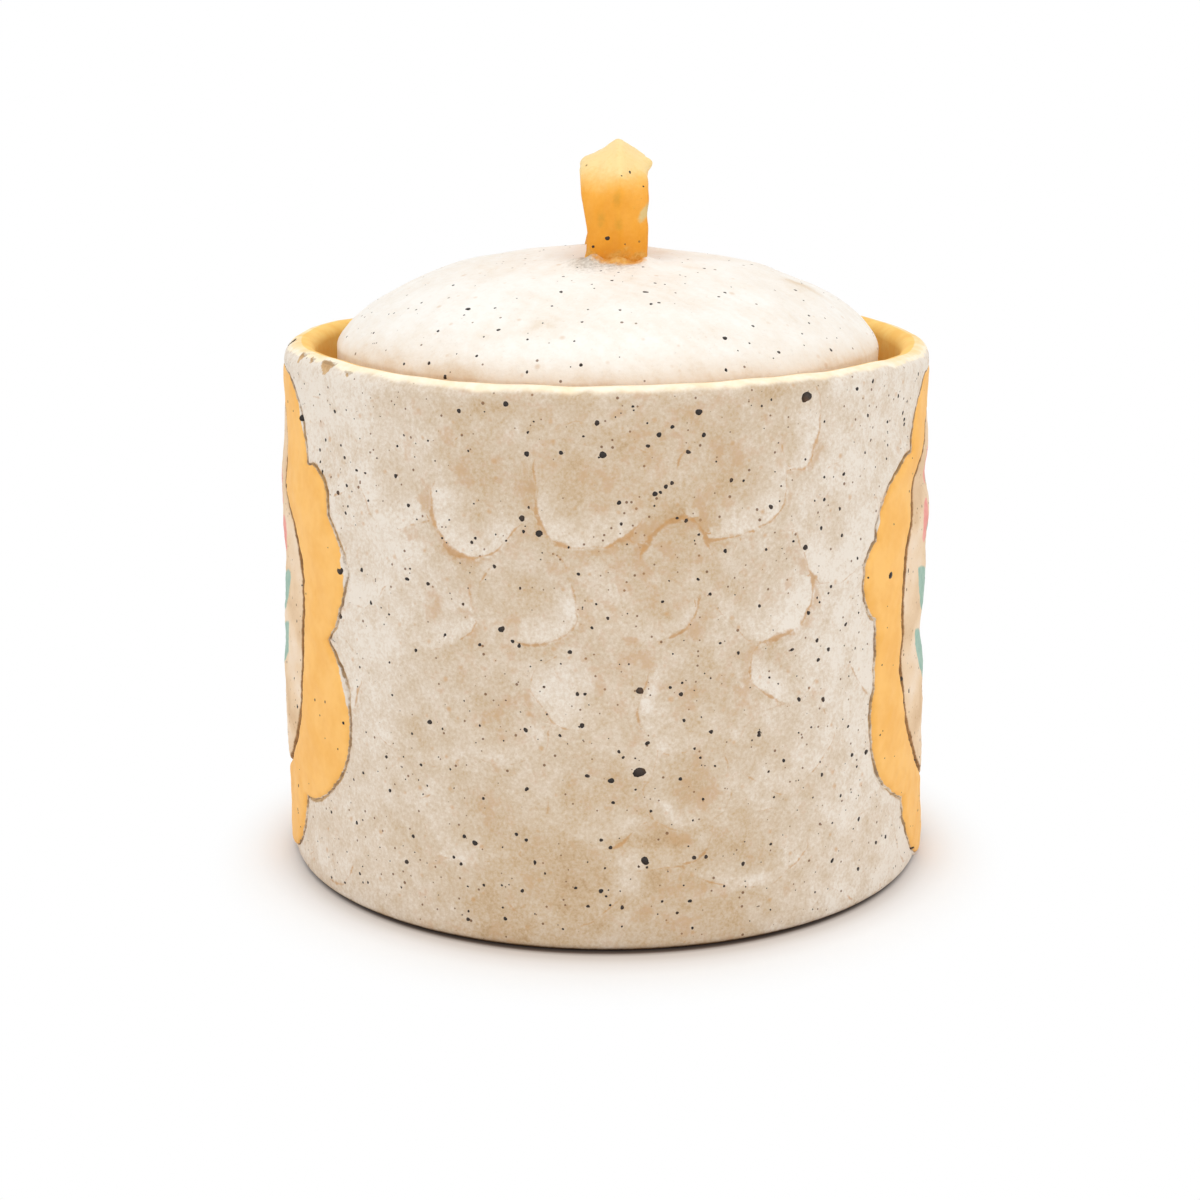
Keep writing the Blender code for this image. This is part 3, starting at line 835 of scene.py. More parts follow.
@dataclass(frozen=True)
class WallSurface:
    """The shape of the wall, shared by every piece that lies on it.

    Attributes:
        foot_radius: at the table.
        rim_radius: at the lip.
        height: of the lip.
        thickness: of the slab.
        presses: thumb presses on the front in the order they were made.
        front_turn: degrees to each side that count as the front.
    """

    foot_radius: float
    rim_radius: float
    height: float
    thickness: float = 4.3
    presses: tuple[ThumbPress, ...] = FRONT_PRESSES
    front_turn: float = 46.0

    # Side, height, reach up and down, and how far the wall swells out there
    SWELLS = (
        (Side.LEFT, 42.0, 27.0, 0.35), (Side.LEFT, 24.0, 13.0, 0.75), (Side.LEFT, 47.3, 3.0, -0.35),
        (Side.LEFT, 69.0, 5.0, -0.3), (Side.LEFT, 58.5, 4.0, 0.25), (Side.RIGHT, 71.5, 4.0, -0.5),
        (Side.RIGHT, 61.0, 3.2, -0.65), (Side.RIGHT, 55.0, 3.5, 0.3), (Side.RIGHT, 36.3, 3.8, -0.6),
    )

    def radius(self, height: np.ndarray) -> np.ndarray:
        """Plain outer radius at a height."""
        return self.foot_radius + (self.rim_radius - self.foot_radius) * height / self.height

    def space(self, azimuth: np.ndarray, height: np.ndarray, radius: np.ndarray) -> np.ndarray:
        """Rows of x, y, z of points on the wall."""
        return np.stack((radius * np.cos(azimuth), radius * np.sin(azimuth), height), axis=-1)

    @cached_property
    def all_presses(self) -> tuple[ThumbPress, ...]:
        """The presses round the sides and back, in staggered rows, before those on the front.

        Returns:
            Every press in the order it was made.
        """
        dice = np.random.default_rng(11)
        columns, rows, top, pitch = 20, 5, 67.0, 14.2
        made = []
        for row in range(rows - 1, -1, -1):
            for column in range(columns):
                angle = (column + 0.5 * (row % 2)) * 360 / columns + dice.normal(0, 2.2)
                sizes = dice.uniform(7.2, 9.0), dice.uniform(6.4, 8.4)
                height = top - row * pitch + dice.normal(0, 1.3)
                fresh = 0.45 + 0.55 * float(smooth(14, 46, height))
                edge = dice.normal(-80, 35)
                depth, scar = fresh * dice.uniform(0.5, 0.85), fresh * dice.uniform(0.3, 0.85)
                if self.front_turn < angle % 360 < 360 - self.front_turn:
                    made.append(ThumbPress(angle, height, *sizes, edge, depth, scar))
        return (*made, *self.presses)

    def clearance(self, azimuth: np.ndarray, height: np.ndarray) -> np.ndarray:
        """Distance from the nearest frame's outline, negative inside it and at most 8."""
        nearest = np.full(azimuth.shape, 8.0)
        for cartouche in CARTOUCHES:
            middle = 0.0 if cartouche.side is Side.RIGHT else math.pi
            across = turn_from(middle, azimuth) * self.radius(height) * cartouche.side.value
            ray = np.arctan2(height - cartouche.frame.centre, across)
            past = np.hypot(across, height - cartouche.frame.centre) - cartouche.frame.reach(ray)
            nearest = np.where(past < -6.9, -8.0, nearest)
            close = np.flatnonzero(np.abs(past) < 7)
            ring = cartouche.frame.ring(cartouche.frame.even_rays(900))
            for some in np.array_split(close, len(close) // 4000 + 1):
                here = np.stack((across[some], height[some]), axis=1)
                gap = np.sqrt(((here[:, None] - ring[None]) ** 2).sum(axis=2).min(axis=1))
                nearest[some] = np.minimum(gap, 8.0) * np.sign(past[some])
        return nearest

    def press_marks(self, azimuth: np.ndarray, height: np.ndarray, ragged: np.ndarray) -> Marks:
        """Makes every thumb press in turn.

        Args:
            azimuth: of each point.
            height: of each point.
            ragged: share by which the presses' edges wander at each point.

        Returns:
            The marks at each point.
        """
        marks = Marks(*(np.zeros(azimuth.shape) for _ in Marks._fields))
        marks.gap[:] = 9.0
        for press in self.all_presses:
            turn = turn_from(FRONT + math.radians(press.angle), azimuth)
            up = (height - press.height) / press.half_height
            across = turn * self.rim_radius / press.half_width - press.lean * up
            near = np.flatnonzero((np.abs(across) < 1.5) & (np.abs(up) < 1.5))
            across, up = across[near], up[near]
            way = np.arctan2(up, across)
            lobes = 0.05 * np.sin(3 * way + press.height) + 0.035 * np.sin(5 * way + press.angle)
            far = np.hypot(across, up) * (1 + lobes + ragged[near])
            sharp = smooth(-0.1, 0.75, np.cos(way - math.radians(press.edge)))
            inside = np.where(far < 1, 1 - smooth(0.3 + 0.45 * sharp * press.scar, 1.0, far), 0.0)
            lip = 0.14 * np.exp(-((far - 1.08) / 0.09) ** 2) * sharp * press.scar
            pressed = press.depth * (inside * (0.9 - 0.25 * far) - lip)
            marks.depth[near] = marks.depth[near] * (1 - 0.85 * inside) + pressed
            hollow = inside * np.exp(-(far / 0.6) ** 2)
            marks.bowl[near] = marks.bowl[near] * (1 - 0.8 * inside) + hollow
            edge = (far - 1) * (press.half_width + press.half_height) / 2
            newer = (edge < 0) | (np.abs(edge) < np.abs(marks.gap[near]))
            marks.gap[near] = np.where(newer, edge, marks.gap[near])
            marks.wipe[near] = np.where(newer, press.scar * sharp, marks.wipe[near])
            marks.low[near] = np.where(newer, smooth(0.6, -0.3, np.sin(way)), marks.low[near])
        return marks

    def dabbed(self, azimuth: np.ndarray, height: np.ndarray, ragged: np.ndarray) -> np.ndarray:
        """How much whiter the dabs of slip make each point.

        Args:
            azimuth: of each point.
            height: of each point.
            ragged: share by which the dabs' edges wander at each point.

        Returns:
            The change of tone at each point.
        """
        white = np.zeros(azimuth.shape)
        for dab in SLIP_DABS:
            across = turn_from(FRONT + math.radians(dab.angle), azimuth) * self.rim_radius
            turned_back = np.exp(-1j * math.radians(dab.slant)) * (across + 1j * (height - dab.height))
            far = np.hypot(turned_back.real / dab.half_across, turned_back.imag / dab.half_up)
            white += dab.white * np.exp(-(far * (1 + 2.5 * ragged)) ** 4)
        return white

    def relief(self, azimuth: np.ndarray, height: np.ndarray) -> Relief:
        """Works out the presses, the slip and the slow wander of the wall.

        Args:
            azimuth: of each point.
            height: of each point.

        Returns:
            The relief at each point.
        """
        points = self.space(azimuth, height, self.radius(height))
        ragged = 0.035 * ripple(points, 6.5, 26) + 0.02 * ripple(points, 2.6, 27)
        depth, gap, wipe, bowl, low = self.press_marks(azimuth, height, ragged)
        clear = self.clearance(azimuth, height)
        fade = smooth(-0.3, 4.0, clear)
        out = 0.16 * ripple(points, 60, 3) + 0.06 * ripple(points, 9, 4) + 0.025 * ripple(points, 3, 5)
        for side, up, reach, swell in self.SWELLS:
            facing = np.exp(-(np.arccos(np.clip(side.value * np.cos(azimuth), -1, 1)) / 0.55) ** 2)
            out += swell * facing * np.exp(-((height - up) / reach) ** 2)
        turn = turn_from(FRONT, azimuth)
        aside = smooth(0.28, 0.85, np.abs(turn))
        # Darker in a band under the lip, and darker towards the foot as painted shade, shifted a little
        # between left and right
        darkened = 0.13 * smooth(54, 66, height) * smooth(83, 76, height) * (1 - 0.6 * aside)
        darkened += 0.19 * smooth(40, 8, height) - np.sign(turn) * aside * (0.04 - 0.06 * smooth(30, 60, height))
        edge_share = np.minimum(wipe * 1.4, 1)
        brink = 0.3 + 0.9 * (1 - edge_share)
        # Whiter along the lower edge inside each press: slip pooled there, and a painted highlight of the
        # upward-facing slope
        pooled_and_highlit = smooth(-5.5, -1.0, gap) * smooth(1, -1, gap / brink) * edge_share * low
        rubbed = smooth(4.5, 0.2, gap) * smooth(-0.3, 0.3, gap) * edge_share
        # Whiter towards the sides: partly less rubbed slip, partly painted light that the sides catch
        tone = 0.56 + 0.36 * aside - darkened + self.dabbed(azimuth, height, ragged)
        tone += 0.05 * ripple(points, 26, 21) + 0.06 * ripple(points, 9, 22) + 0.06 * ripple(points, 3.4, 23)
        tone += (0.24 * pooled_and_highlit - 0.1 * rubbed - 0.08 * bowl) * fade
        line = 0.46 * wipe - 0.2 + 0.15 * ripple(points, 4.5, 24)
        line -= 0.6 * smooth(0.8, 1.5, np.abs(gap)) + 0.8 * smooth(2.5, 0.4, clear)
        thin = 0.3 * rubbed + 0.12 * bowl - 0.5 * pooled_and_highlit + 0.12 * ripple(points, 16, 25)
        thin -= 0.35 * aside + 0.1 * smooth(48, 28, height)
        return Relief(out - depth * fade, np.clip(tone, 0, 1), gap, line, thin)


@dataclass
class WallBody:
    """The slab wall: thumb-pressed outside, rounded at the lip, yellow inside.

    Attributes:
        surface: the wall's shape.
        steps: faces round the jar.
        rows: faces up the outside.
        lip: height of the rounded lip.
        foot: radius of the foot's edge.
        sunk: how deep the wall goes back under the frames.
        lip_line: height at which the lip's yellow starts outside.
    """

    surface: WallSurface
    steps: int = 560
    rows: int = 132
    lip: float = 2.0
    foot: float = 1.2
    sunk: float = 1.7
    lip_line: float = 80.05

    # Degrees round from the front and height of tan stains under the lip
    STAINS = ((-18.8, 78.0), (26.8, 78.8), (35.0, 79.4))

    def profile(self) -> list[tuple[float, float]]:
        """The wall's section from the inside over the lip to the foot."""
        wall = self.surface
        lip_foot = wall.height - self.lip
        half = wall.thickness / 2
        middle = wall.radius(lip_foot) - half
        points = [
            (middle - half * math.cos(turn), lip_foot + self.lip * math.sin(turn))
            for turn in np.linspace(0, math.pi, 15)
        ]
        for height in np.linspace(lip_foot, self.foot, self.rows)[1:]:
            points.append((wall.radius(height), height))
        for turn in np.linspace(0, math.pi / 2, 9)[1:]:
            inset = self.foot * (1 - math.cos(turn))
            points.append((wall.foot_radius - inset, self.foot * (1 - math.sin(turn))))
        points.append((wall.foot_radius - wall.thickness + 1.0, 0.0))
        for height in np.linspace(0, lip_foot, 13)[:-1]:
            points.append((wall.radius(height) - wall.thickness, height))
        return points

    def build(self) -> bpy.types.Object:
        """Turns the wall, presses it and measures its slip.

        Returns:
            The dressed wall.
        """
        wall = self.surface
        piece = turned("wall_body", self.profile(), self.steps)
        x, y, z = get_points(piece).T
        radius, azimuth = np.hypot(x, y), np.arctan2(y, x)
        half = wall.thickness / 2
        outer = (radius - (wall.radius(z) - half)) / half
        relief = wall.relief(azimuth, z)
        side = smooth(0.2, 0.9, outer) * smooth(0.0, 2.0, z) * smooth(80.3, 78.0, z)
        points = wall.space(azimuth, z, wall.radius(z))
        turn = np.degrees(turn_from(FRONT, azimuth))
        lip_wave = 0.22 * ripple(points, 45, 31) + 0.1 * ripple(points, 12, 32)
        lip_wave += 0.5 * np.exp(-((turn - 34) / 22) ** 2) + 0.35 * np.exp(-((turn + 60) / 15) ** 2)
        moved = relief.out * side + 0.25 * ripple(points, 40, 33) * (1 - side) * smooth(0.0, 20.0, z)
        bed = np.where((z > 74) | (z < 7), 0.35, 1.15)
        under_frame = (wall.clearance(azimuth, z) < bed) & (outer > 0.5) & (z < 78.1)
        moved = np.where(under_frame, -self.sunk, moved)
        chip, rim, notch = self.chips(azimuth, z)
        moved -= np.where(outer > 0.1, notch, 0.0)
        set_points(piece, wall.space(azimuth, z + lip_wave * smooth(66, 80, z), radius + moved))
        line = self.lip_line + 0.16 * ripple(points, 9, 34) + 0.1 * ripple(points, 3, 35)
        line += 0.12 * np.exp(-((turn + 56) / 12) ** 2) - 0.3 * smooth(60, 80, np.abs(turn))
        stains = sum(np.exp(-((turn - at) / 4) ** 2 - ((z - up) / 1.1) ** 2) for at, up in self.STAINS)
        golden = 1.9 * smooth(38, 66, np.abs(turn)) * smooth(0.0, 0.4, z - line)
        # The foot measure places the wiped foot's line of bare clay, which is also painted contact shade
        measure(
            piece, tone=np.clip(relief.tone - 0.3 * stains, 0, 1), gap=relief.gap,
            wipe=np.where(side > 0.3, relief.wipe, UNWIPED), thin=relief.thin,
            glaze=np.where(outer > 0.0, z - line + golden, WITHIN), chip=np.where(outer > 0.1, chip, NOWHERE),
            rim=np.where(outer > 0.1, rim, NOWHERE), foot=np.where(outer > -0.9, 0.5 - z, NOWHERE),
        )
        dress(piece, Body.JAR, Slot.SLIP, WALL_SLIP, "wall_slab")
        return piece

    def chips(self, azimuth: np.ndarray, height: np.ndarray) -> tuple[np.ndarray, np.ndarray, np.ndarray]:
        """Measures the chips of the lip.

        Args:
            azimuth: of each point.
            height: of each point.

        Returns:
            How far each point lies inside a chip, how far inside a chip's upper edge, and how deep.
        """
        inside, rim = np.full((2, *azimuth.shape), NOWHERE)
        notch = np.zeros(azimuth.shape)
        for chip in LIP_CHIPS:
            across = np.abs(turn_from(FRONT + math.radians(chip.angle), azimuth)) * self.surface.rim_radius
            up = (height - chip.top) / chip.height + 1
            here = np.minimum(chip.half_width * up - across, (chip.top - height))
            inside = np.maximum(inside, here)
            rim = np.maximum(rim, np.minimum(here + 0.1, 0.38 - (chip.top - height)))
            notch = np.maximum(notch, np.clip(here, 0, chip.depth))
        return inside, rim, notch


@dataclass
class FramedPanel:
    """One side's frame and painted panel, laid on the wall.

    Attributes:
        surface: the wall's shape.
        cartouche: the outlines.
        rays: points round the frame.
        under: depth of the pieces' hidden backs.
        face_rows: points across the frame's face.
        panel_rows: points from the panel's edge to its middle.
    """

    surface: WallSurface
    cartouche: Cartouche
    rays: int = 720
    under: float = -1.3
    face_rows: int = 18
    panel_rows: int = 40

    # Distance out from the outline, and height over the wall, across the carved line and the frame's edge
    OUTER_SECTION = (
        (3.0, -0.32), (2.6, -0.04), (2.1, 0.02), (1.5, 0.03), (1.1, 0.03), (0.85, 0.02), (0.66, -0.06),
        (0.52, -0.22), (0.38, -0.32), (0.24, -0.24), (0.12, 0.0), (-0.06, 0.2), (-0.4, 0.4), (-0.8, 0.5),
    )
    INNER_SECTION = ((0.9, 0.36), (0.55, 0.32), (0.32, 0.2), (0.16, -0.05), (0.02, -0.35), (-0.15, -0.55))
    PANEL_SECTION = ((-0.5, -0.9), (-0.1, -0.8), (0.18, -0.5), (0.38, -0.12), (0.6, 0.12), (0.95, 0.28))

    # Side, height of the foot and lean of each leaf, and the berries' places
    LEAVES = ((1, -15, 26), (-1, -12, 30), (1, -4, 30), (-1, -1, 26))
    BERRIES = ((11.2, 12.0), (-11.6, 13.2), (0.4, 25.4), (8.6, 20.4), (-8.2, 21.6))
    # Sizes of the sprig's parts in millimetres
    LEAF_LENGTH, STEM_REACH = 18.0, 23.0
    LEAF_HALF, BERRY_HALF, STEM_HALF, TWIG_HALF = 3.4, 3.4, 0.75, 0.5

    def name(self, part: str) -> str:
        """Name of a piece of this side."""
        return f"{self.cartouche.side.name.lower()}_{part}"

    def lay(self, flat: np.ndarray, lift: np.ndarray) -> tuple[np.ndarray, Relief]:
        """Wraps flat points on to the wall.

        Args:
            flat: distance round the wall and height, in the last axis.
            lift: how far each point stands over the wall.

        Returns:
            Points in space, and the wall's relief under them.
        """
        across, height = flat[..., 0], flat[..., 1]
        radius = self.surface.radius(height)
        azimuth = self.cartouche.azimuth(across, radius)
        relief = self.surface.relief(azimuth.ravel(), height.ravel())
        proud = np.where(lift > 0.05, lift * (0.25 + 0.75 * smooth(77, 64, height)), lift)
        out = relief.out.reshape(height.shape)
        return self.surface.space(azimuth, height, radius + out + proud), relief

    def build(self) -> list[bpy.types.Object]:
        """Builds the frame and the panel.

        Returns:
            The dressed pieces.
        """
        return [self.band(), self.field()]

    def room(self, ring: np.ndarray, way: np.ndarray) -> np.ndarray:
        """Share of the outer section's width that fits between the foot and the lip, one a ray."""
        up = way[:, 1]
        limit = np.where(up > 0, self.surface.height - 2.1 - ring[:, 1], ring[:, 1] - 1.4)
        return np.clip(limit / (np.abs(up) * self.OUTER_SECTION[0][0] + 1e-6), 0.2, 1.0)

    def closed(self, rows: list[tuple]) -> tuple[np.ndarray, ...]:
        """Joins rows of rings into arrays whose last column meets the first.

        Args:
            rows: ring, lift and marks of each row.

        Returns:
            Points, lifts and each mark, by row and ray.
        """
        flat = np.array([row[0] for row in rows])
        flat = np.concatenate((flat, flat[:, :1]), axis=1)
        marks = np.array([row[1:] for row in rows])
        return (flat, *(np.repeat(column[:, None], flat.shape[1], axis=1) for column in marks.T))

    def band(self) -> bpy.types.Object:
        """The frame with its carved lines, as a closed ring that is sunk in the wall.

        Returns:
            The dressed frame.
        """
        angle = self.cartouche.frame.even_rays(self.rays)
        outer, inner = self.cartouche.frame.ring(angle), self.cartouche.panel.ring(angle)
        out_way, in_way = outward(outer, 6), outward(inner, 9)
        seed = 50 + self.cartouche.side.value
        place = np.column_stack((outer, np.zeros(self.rays)))
        room = self.room(outer, out_way)
        wander = (0.1 * ripple(place, 2.6, seed) + 0.08 * ripple(place, 1.1, seed + 2)) * room
        width = 0.95 + 0.3 * ripple(place, 11, seed + 4)
        short = self.cartouche.margin(outer[:, 1])
        rows = []
        for far, lift in self.OUTER_SECTION:
            step = 0.4 * short + far * np.where(abs(far) < 0.8, width, 1.0) * np.where(far > 0, room, 1.0)
            step += wander * (1.0 if abs(far) < 1 else 0.3)
            rows.append((outer + out_way * step[:, None], lift, far, 9.0))
        brink, last = rows[-1][0], inner + in_way * self.INNER_SECTION[0][0]
        for share in np.linspace(0, 1, self.face_rows + 2)[1:-1]:
            face = 0.5 - 0.14 * share + 0.1 * math.sin(share * math.pi)
            rows.append((brink * (1 - share) + last * share, face, -9.0, 9.0))
        for far, lift in self.INNER_SECTION:
            rows.append((inner + in_way * (far + wander * 0.8)[:, None], lift, -9.0, far))
        rows += [(rows[-1][0], self.under, 2.0, 9.0), (rows[0][0], self.under, 2.0, 9.0), rows[0]]
        flat, lift, edge, far_in = self.closed(rows)
        spread = np.column_stack((flat.reshape(-1, 2), lift.ravel()))
        uneven = 0.05 * ripple(spread, 7, seed + 6) + 0.03 * ripple(spread, 2.4, seed + 8)
        points, relief = self.lay(flat, lift + uneven.reshape(lift.shape) * (lift > 0.1))
        piece, kept = wrapped(self.name("frame_band"), points)
        edge, far_in, height = edge.ravel(), far_in.ravel(), flat[:, :, 1].ravel()
        tan = 0.16 + 0.16 * ripple(spread * (1, 1, 0), 8, seed + 10)
        dark = 0.09 + 0.035 * ripple(spread * (1, 1, 0), 7, seed + 12)
        bared = np.maximum(tan - np.abs(edge - 0.44), 0.16 - far_in)
        # A dark line along the cut, on the groove's inner side and the frame's inner edge: partly darker
        # clay, partly painted shadow of the undercut
        cut_and_shadow = np.maximum(dark - np.abs(edge - 0.2), dark - np.abs(far_in - 0.08))
        paint = np.minimum(0.1 - edge - 0.4 * self.cartouche.margin(height), far_in - 0.12)
        fields = {
            "tone": np.clip(relief.tone + np.where(edge < 0.2, 0.3, 0.0), 0, 1), "gap": relief.gap,
            "wipe": relief.wipe, "thin": relief.thin, "paint": paint, "groove": bared, "cut_and_shadow": cut_and_shadow,
        }
        measure(piece, **{name: field[kept] for name, field in fields.items()})
        dress(piece, Body.JAR, Slot.YELLOW, FRAME_YELLOW, self.name("frame"))
        return piece

    def field(self) -> bpy.types.Object:
        """The bare panel inside the frame with its brushwork, as a closed tile.

        Returns:
            The dressed panel.
        """
        angle = self.cartouche.frame.even_rays(self.rays // 2)
        ring = self.cartouche.panel.ring(angle)
        way = outward(ring, 5)
        middle = np.array((0.0, self.cartouche.panel.centre))
        rows = [(ring - way * inset, lift, inset) for inset, lift in self.PANEL_SECTION]
        edge = rows[-1][0]
        for share in np.linspace(0, 1, self.panel_rows + 1)[1:]:
            rows.append((edge * (1 - share) + middle * share, 0.32, 9.0))
        rows += [(rows[-1][0], self.under, 9.0), (rows[0][0], self.under, 9.0), rows[0]]
        flat, lift, inset = self.closed(rows)
        spread = np.column_stack((flat.reshape(-1, 2), np.zeros(lift.size)))
        rough = 0.06 * ripple(spread, 6, 71) + 0.035 * ripple(spread, 1.8, 72)
        points, _ = self.lay(flat, lift + rough.reshape(lift.shape) * (lift > 0.1))
        piece, kept = wrapped(self.name("panel_field"), points)
        tone = 0.5 + 0.25 * ripple(spread, 11, 73) + 0.12 * ripple(spread, 3, 74)
        bared = 1 - np.maximum(inset.ravel(), 0) / 0.8
        leaf, berry = self.sprig(flat.reshape(-1, 2))
        measure(piece, tone=np.clip(tone, 0, 1)[kept], groove=bared[kept], leaf=leaf[kept], berry=berry[kept])
        dress(piece, Body.JAR, Slot.CLAY, PANEL_CLAY, self.name("panel"))
        return piece

    def sprig(self, flat: np.ndarray) -> tuple[np.ndarray, np.ndarray]:
        """Measures a plain sprig of leaves and berries on the panel.

        Args:
            flat: rows of distance round the wall and height.

        Returns:
            How far each point lies inside the stem or a leaf, and inside a berry.
        """
        size = self.cartouche.sprig
        across, up = ((flat - (0.0, self.cartouche.panel.centre)) / size).T[:, :, None]
        along = np.linspace(0, 1, 60)
        full = np.sin(along * math.pi) ** 0.8
        bend = 0.8 * np.sin(np.clip(up / 44 + 0.5, 0, 1) * 5)
        leaf = np.minimum(self.STEM_HALF - np.abs(across - bend), self.STEM_REACH - np.abs(up)).ravel()
        for at, high in self.BERRIES:
            twig = np.hypot(across - at * along, up - high + (1 - along) ** 1.4 * 9)
            leaf = np.maximum(leaf, (self.TWIG_HALF - twig).max(axis=1))
        for side, foot, degrees in self.LEAVES:
            lean = math.radians(degrees)
            tip = self.LEAF_LENGTH * np.array((side * math.cos(lean), math.sin(lean)))
            gap = np.hypot(across - side * 0.8 - along * tip[0], up - foot - along * tip[1] + 1.6 * full)
            leaf = np.maximum(leaf, (self.LEAF_HALF * full - gap).max(axis=1))
        gaps = [np.hypot(across - at, up - high) for at, high in self.BERRIES]
        return size * leaf, size * (self.BERRY_HALF - np.min(gaps, axis=0)).ravel()


@dataclass
class Inside:
    """The floor of the jar and the ledge that the lid rests on.

    Attributes:
        steps: faces round the jar.
        ledge_radius: inner radius of the ledge.
        squareness: below 1 for a ledge with flatter faces than a round coil.
        ease: rounding of the floor's edges.
    """

    steps: int = 180
    ledge_radius: float = 37.6
    squareness: float = 0.45
    ease: float = 0.8

    def build(self) -> list[bpy.types.Object]:
        """Turns the floor and the ledge.

        Returns:
            The dressed pieces.
        """
        return [self.floor(), self.ledge()]

    def floor(self) -> bpy.types.Object:
        """The flat slab that closes the bottom, bare below and yellow above.

        Returns:
            The dressed floor.
        """
        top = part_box("base_slab")[1]
        radius, height = top.x / MM, top.z / MM
        turns = np.linspace(0, math.pi / 2, 5)
        ease = self.ease
        flat = radius - ease
        rings = [share * flat for share in np.linspace(0.05, 0.95, 24)]
        profile = [(0.0, height), *((ring, height) for ring in rings)]
        profile += [(flat + ease * math.sin(t), height - ease + ease * math.cos(t)) for t in turns]
        profile += [(flat + ease * math.cos(t), ease - ease * math.sin(t)) for t in turns]
        profile += [*((ring, 0.0) for ring in rings[::-1]), (0.0, 0.0)]
        piece = turned("base_disc", profile, self.steps)
        points = get_points(piece)
        above = points[:, 2] > height / 2
        points[:, 2] += np.where(above, 0.18 * ripple(points, 14, 91) - 0.1, 0.0)
        set_points(piece, points)
        tone = np.clip(0.3 + 0.2 * ripple(points, 12, 92) + 0.1 * ripple(points, 3, 93), 0, 1)
        none = np.zeros(len(points))
        absent = {name: none + NOWHERE for name in ("chip", "rim", "foot")}
        glaze = np.where(above, WITHIN, -WITHIN)
        measure(piece, tone=tone, gap=none, thin=none, wipe=none + UNWIPED, glaze=glaze, **absent)
        dress(piece, Body.JAR, Slot.CLAY, WALL_SLIP, "base_slab")
        return piece

    def ledge(self) -> bpy.types.Object:
        """The coil below the lip, flattened where the lid rests on it.

        Returns:
            The dressed ledge.
        """
        low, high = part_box("lid_seat_coil")
        outer, foot, top = high.x / MM, low.z / MM, high.z / MM
        half_deep, half_wide = (top - foot) / 2, (outer - self.ledge_radius) / 2
        turns = np.linspace(0, TAU, 40, endpoint=False)
        round_coil = np.stack((np.cos(turns), np.sin(turns)), axis=1)
        squared = np.copysign(np.abs(round_coil) ** self.squareness, round_coil)
        middle, halves = (outer - half_wide, foot + half_deep), (half_wide, half_deep)
        profile = [tuple(point) for point in squared * halves + middle]
        piece = turned("seat_ledge", profile, self.steps)
        points = get_points(piece)
        radius = np.hypot(points[:, 0], points[:, 1])
        inward = smooth(outer, self.ledge_radius, radius) * 0.2 * ripple(points, 16, 94)
        points[:, :2] *= (1 + inward / radius)[:, None]
        set_points(piece, points)
        measure(piece, tone=np.clip(0.5 + 0.2 * ripple(points, 9, 95), 0, 1))
        dress(piece, Body.JAR, Slot.YELLOW, LEDGE_YELLOW, "lid_seat_coil")
        return piece


class Dent(NamedTuple):
    """A soft dent in the lid: azimuth in degrees, sizes in millimetres."""

    azimuth: float
    radius: float
    half_across: float
    half_along: float
    depth: float


